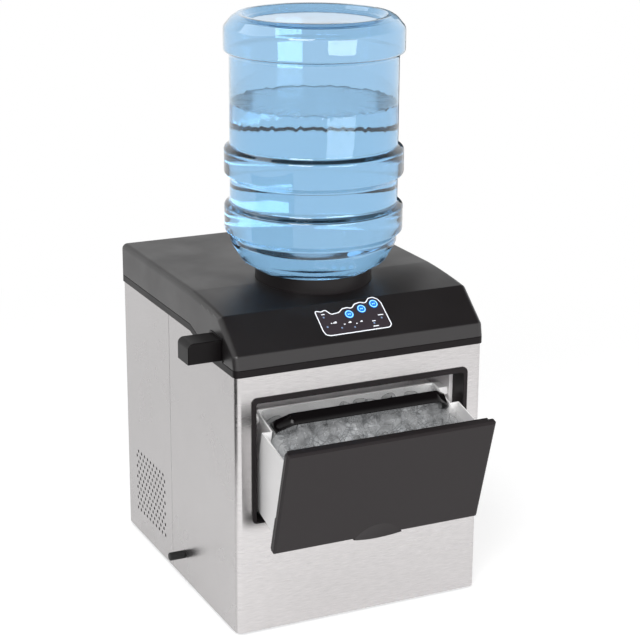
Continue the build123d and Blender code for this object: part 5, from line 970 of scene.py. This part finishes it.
def mixed(tree, mask, low, high):
    """Number that goes from low to high by the mask; each is a number or another node's value."""
    node = tree.nodes.new("ShaderNodeMix")
    tree.links.new(mask, node.inputs["Factor"])
    for label, value in (("A", low), ("B", high)):
        if isinstance(value, bpy.types.NodeSocket):
            tree.links.new(value, node.inputs[label])
        else:
            node.inputs[label].default_value = value
    return node.outputs["Result"]


def faded(tree, value, start, end, low, high):
    """Value of low up to start and of high past end, with a smooth change between."""
    node = tree.nodes.new("ShaderNodeMapRange")
    node.interpolation_type = "SMOOTHSTEP"
    node.inputs["From Min"].default_value = start
    node.inputs["From Max"].default_value = end
    node.inputs["To Min"].default_value = low
    node.inputs["To Max"].default_value = high
    tree.links.new(value, node.inputs["Value"])
    return node.outputs["Result"]


def surround(scene, level):
    """White to the camera and, near the horizon, in metal and glass; darker overhead, as a studio's ceiling is."""
    world = bpy.data.worlds.new("White surround")
    scene.world = world
    world.use_nodes = True
    tree = world.node_tree
    place = tree.nodes.new("ShaderNodeTexCoord")
    parts = tree.nodes.new("ShaderNodeSeparateXYZ")
    tree.links.new(place.outputs["Generated"], parts.inputs["Vector"])
    ceiling = faded(tree, parts.outputs["Z"], 0.3, 0.75, 1.0, 0.06)
    seen = mixed(tree, ray_mask(tree, "Is Glossy Ray", "Is Transmission Ray"), level, ceiling)
    tree.links.new(mixed(tree, ray_mask(tree, "Is Camera Ray"), seen, 1.0), tree.nodes["Background"].inputs["Strength"])
    tree.nodes["Background"].inputs["Color"].default_value = (1, 1, 1, 1)


def sheet(name, corners, finish):
    """Flat four-cornered piece of the stage."""
    mesh = bpy.data.meshes.new(name)
    mesh.from_pydata(corners, [], [(0, 1, 2, 3)])
    mesh.materials.append(finish.material)
    piece = bpy.data.objects.new(name, mesh)
    bpy.context.scene.collection.objects.link(piece)
    return piece


def floor_finish():
    """Pale floor that holds the object's shadow near it and is plain white further out."""
    finish = Finish("Pale floor").set(Roughness=0.8, Specular_IOR_Level=0.0)
    tree = finish.tree
    grained = finish.group(GRAIN, Scale=200.0, Cloud_scale=2.0)
    place = tree.nodes.new("ShaderNodeTexCoord")
    reach = tree.nodes.new("ShaderNodeVectorMath")
    reach.operation = "LENGTH"
    tree.links.new(place.outputs["Object"], reach.inputs[0])
    far = faded(tree, reach.outputs["Value"], 0.55, 1.5, 0.0, 1.0)
    pale = finish.mix(grained.outputs["Cloud"], (0.76, 0.76, 0.76, 1), (0.8, 0.8, 0.8, 1))
    finish.link(finish.mix(far, pale, (0, 0, 0, 1)), "Base Color")
    near = mixed(tree, ray_mask(tree, "Is Camera Ray"), 0.28, 0.42)
    shown = ray_mask(tree, "Is Camera Ray", "Is Glossy Ray", "Is Transmission Ray")
    glow = tree.nodes.new("ShaderNodeMath")
    glow.operation = "MULTIPLY"
    tree.links.new(mixed(tree, far, near, 1.0), glow.inputs[0])
    tree.links.new(shown, glow.inputs[1])
    finish.shader.inputs["Emission Color"].default_value = (1, 1, 1, 1)
    finish.link(glow.outputs["Value"], "Emission Strength")
    return finish


class ICEMAKER_OT_stage(bpy.types.Operator):
    """Set up the floor, the dark flags, the lamps, the white surround and the camera"""

    bl_idname = "icemaker.stage"
    bl_label = "Stage"

    def execute(self, context):
        scene = context.scene
        sizes = scene.icemaker.stage
        scene.view_settings.view_transform = "Standard"
        surround(scene, sizes.surround)
        reach = sizes.floor
        sheet("floor", [(-reach, -reach, 0), (reach, -reach, 0), (reach, reach, 0), (-reach, reach, 0)], floor_finish())
        dark = Finish("Flag cloth").set(Roughness=0.9)
        grained = dark.group(GRAIN, Scale=60.0)
        dark.link(dark.mix(grained.outputs["Cloud"], (0.02, 0.02, 0.02, 1), (0.04, 0.04, 0.04, 1)), "Base Color")
        for name, (x0, y0), (x1, y1), low, top in FLAGS:
            flag = sheet(name, [(x0, y0, low), (x1, y1, low), (x1, y1, top), (x0, y0, top)], dark)
            for ray in ("camera", "diffuse", "transmission", "shadow"):
                setattr(flag, f"visible_{ray}", False)
        for name, place, width, height in LAMPS:
            lamp = area_light(name, place, width, height, getattr(sizes, name))
            lamp.visible_glossy = name != "front"
        forward = Vector((
            math.sin(sizes.yaw) * math.cos(sizes.pitch),
            math.cos(sizes.yaw) * math.cos(sizes.pitch),
            -math.sin(sizes.pitch),
        ))
        view = bpy.data.cameras.new("camera")
        view.lens = sizes.lens
        view.sensor_width = 36.0
        camera = bpy.data.objects.new("camera", view)
        scene.collection.objects.link(camera)
        turn = forward.to_track_quat("-Z", "Y").to_matrix().to_4x4()
        camera.matrix_world = Matrix.Translation(CAMERA_AT) @ turn @ Matrix.Rotation(sizes.roll, 4, "Z")
        scene.camera = camera
        return {"FINISHED"}


class ICEMAKER_PT_panel(bpy.types.Panel):
    """Sidebar list of the steps"""

    bl_idname = "ICEMAKER_PT_panel"
    bl_label = "Ice maker"
    bl_space_type = "VIEW_3D"
    bl_region_type = "UI"
    bl_category = "Ice maker"

    def draw(self, context):
        for step in STEPS:
            self.layout.operator(step.bl_idname)
        chosen = context.scene.icemaker
        for label in ICEMAKER_PG_settings.__annotations__:
            group = getattr(chosen, label)
            box = self.layout.box()
            box.label(text=label.capitalize())
            for name in type(group).__annotations__:
                box.prop(group, name)


STEPS = (
    ICEMAKER_OT_finishes,
    ICEMAKER_OT_solids,
    ICEMAKER_OT_bottle,
    ICEMAKER_OT_ice,
    ICEMAKER_OT_handle,
    ICEMAKER_OT_controls,
    ICEMAKER_OT_stage,
)
CHOICES = (
    ICEMAKER_PG_colours,
    ICEMAKER_PG_bottle,
    ICEMAKER_PG_ice,
    ICEMAKER_PG_handle,
    ICEMAKER_PG_controls,
    ICEMAKER_PG_stage,
    ICEMAKER_PG_settings,
)
CLASSES = (*CHOICES, *STEPS, ICEMAKER_PT_panel)


def register():
    for cls in CLASSES:
        bpy.utils.register_class(cls)
    bpy.types.Scene.icemaker = bpy.props.PointerProperty(
        name="Ice maker", description="Sizes and colours of the ice maker", type=ICEMAKER_PG_settings
    )


def unregister():
    del bpy.types.Scene.icemaker
    for cls in reversed(CLASSES):
        bpy.utils.unregister_class(cls)


def main():
    register()
    bpy.ops.icemaker.finishes()
    bpy.ops.icemaker.solids()
    bpy.ops.icemaker.bottle()
    bpy.ops.icemaker.ice()
    bpy.ops.icemaker.handle()
    bpy.ops.icemaker.controls()
    bpy.ops.icemaker.stage()


if __name__ == "__main__":
    main()
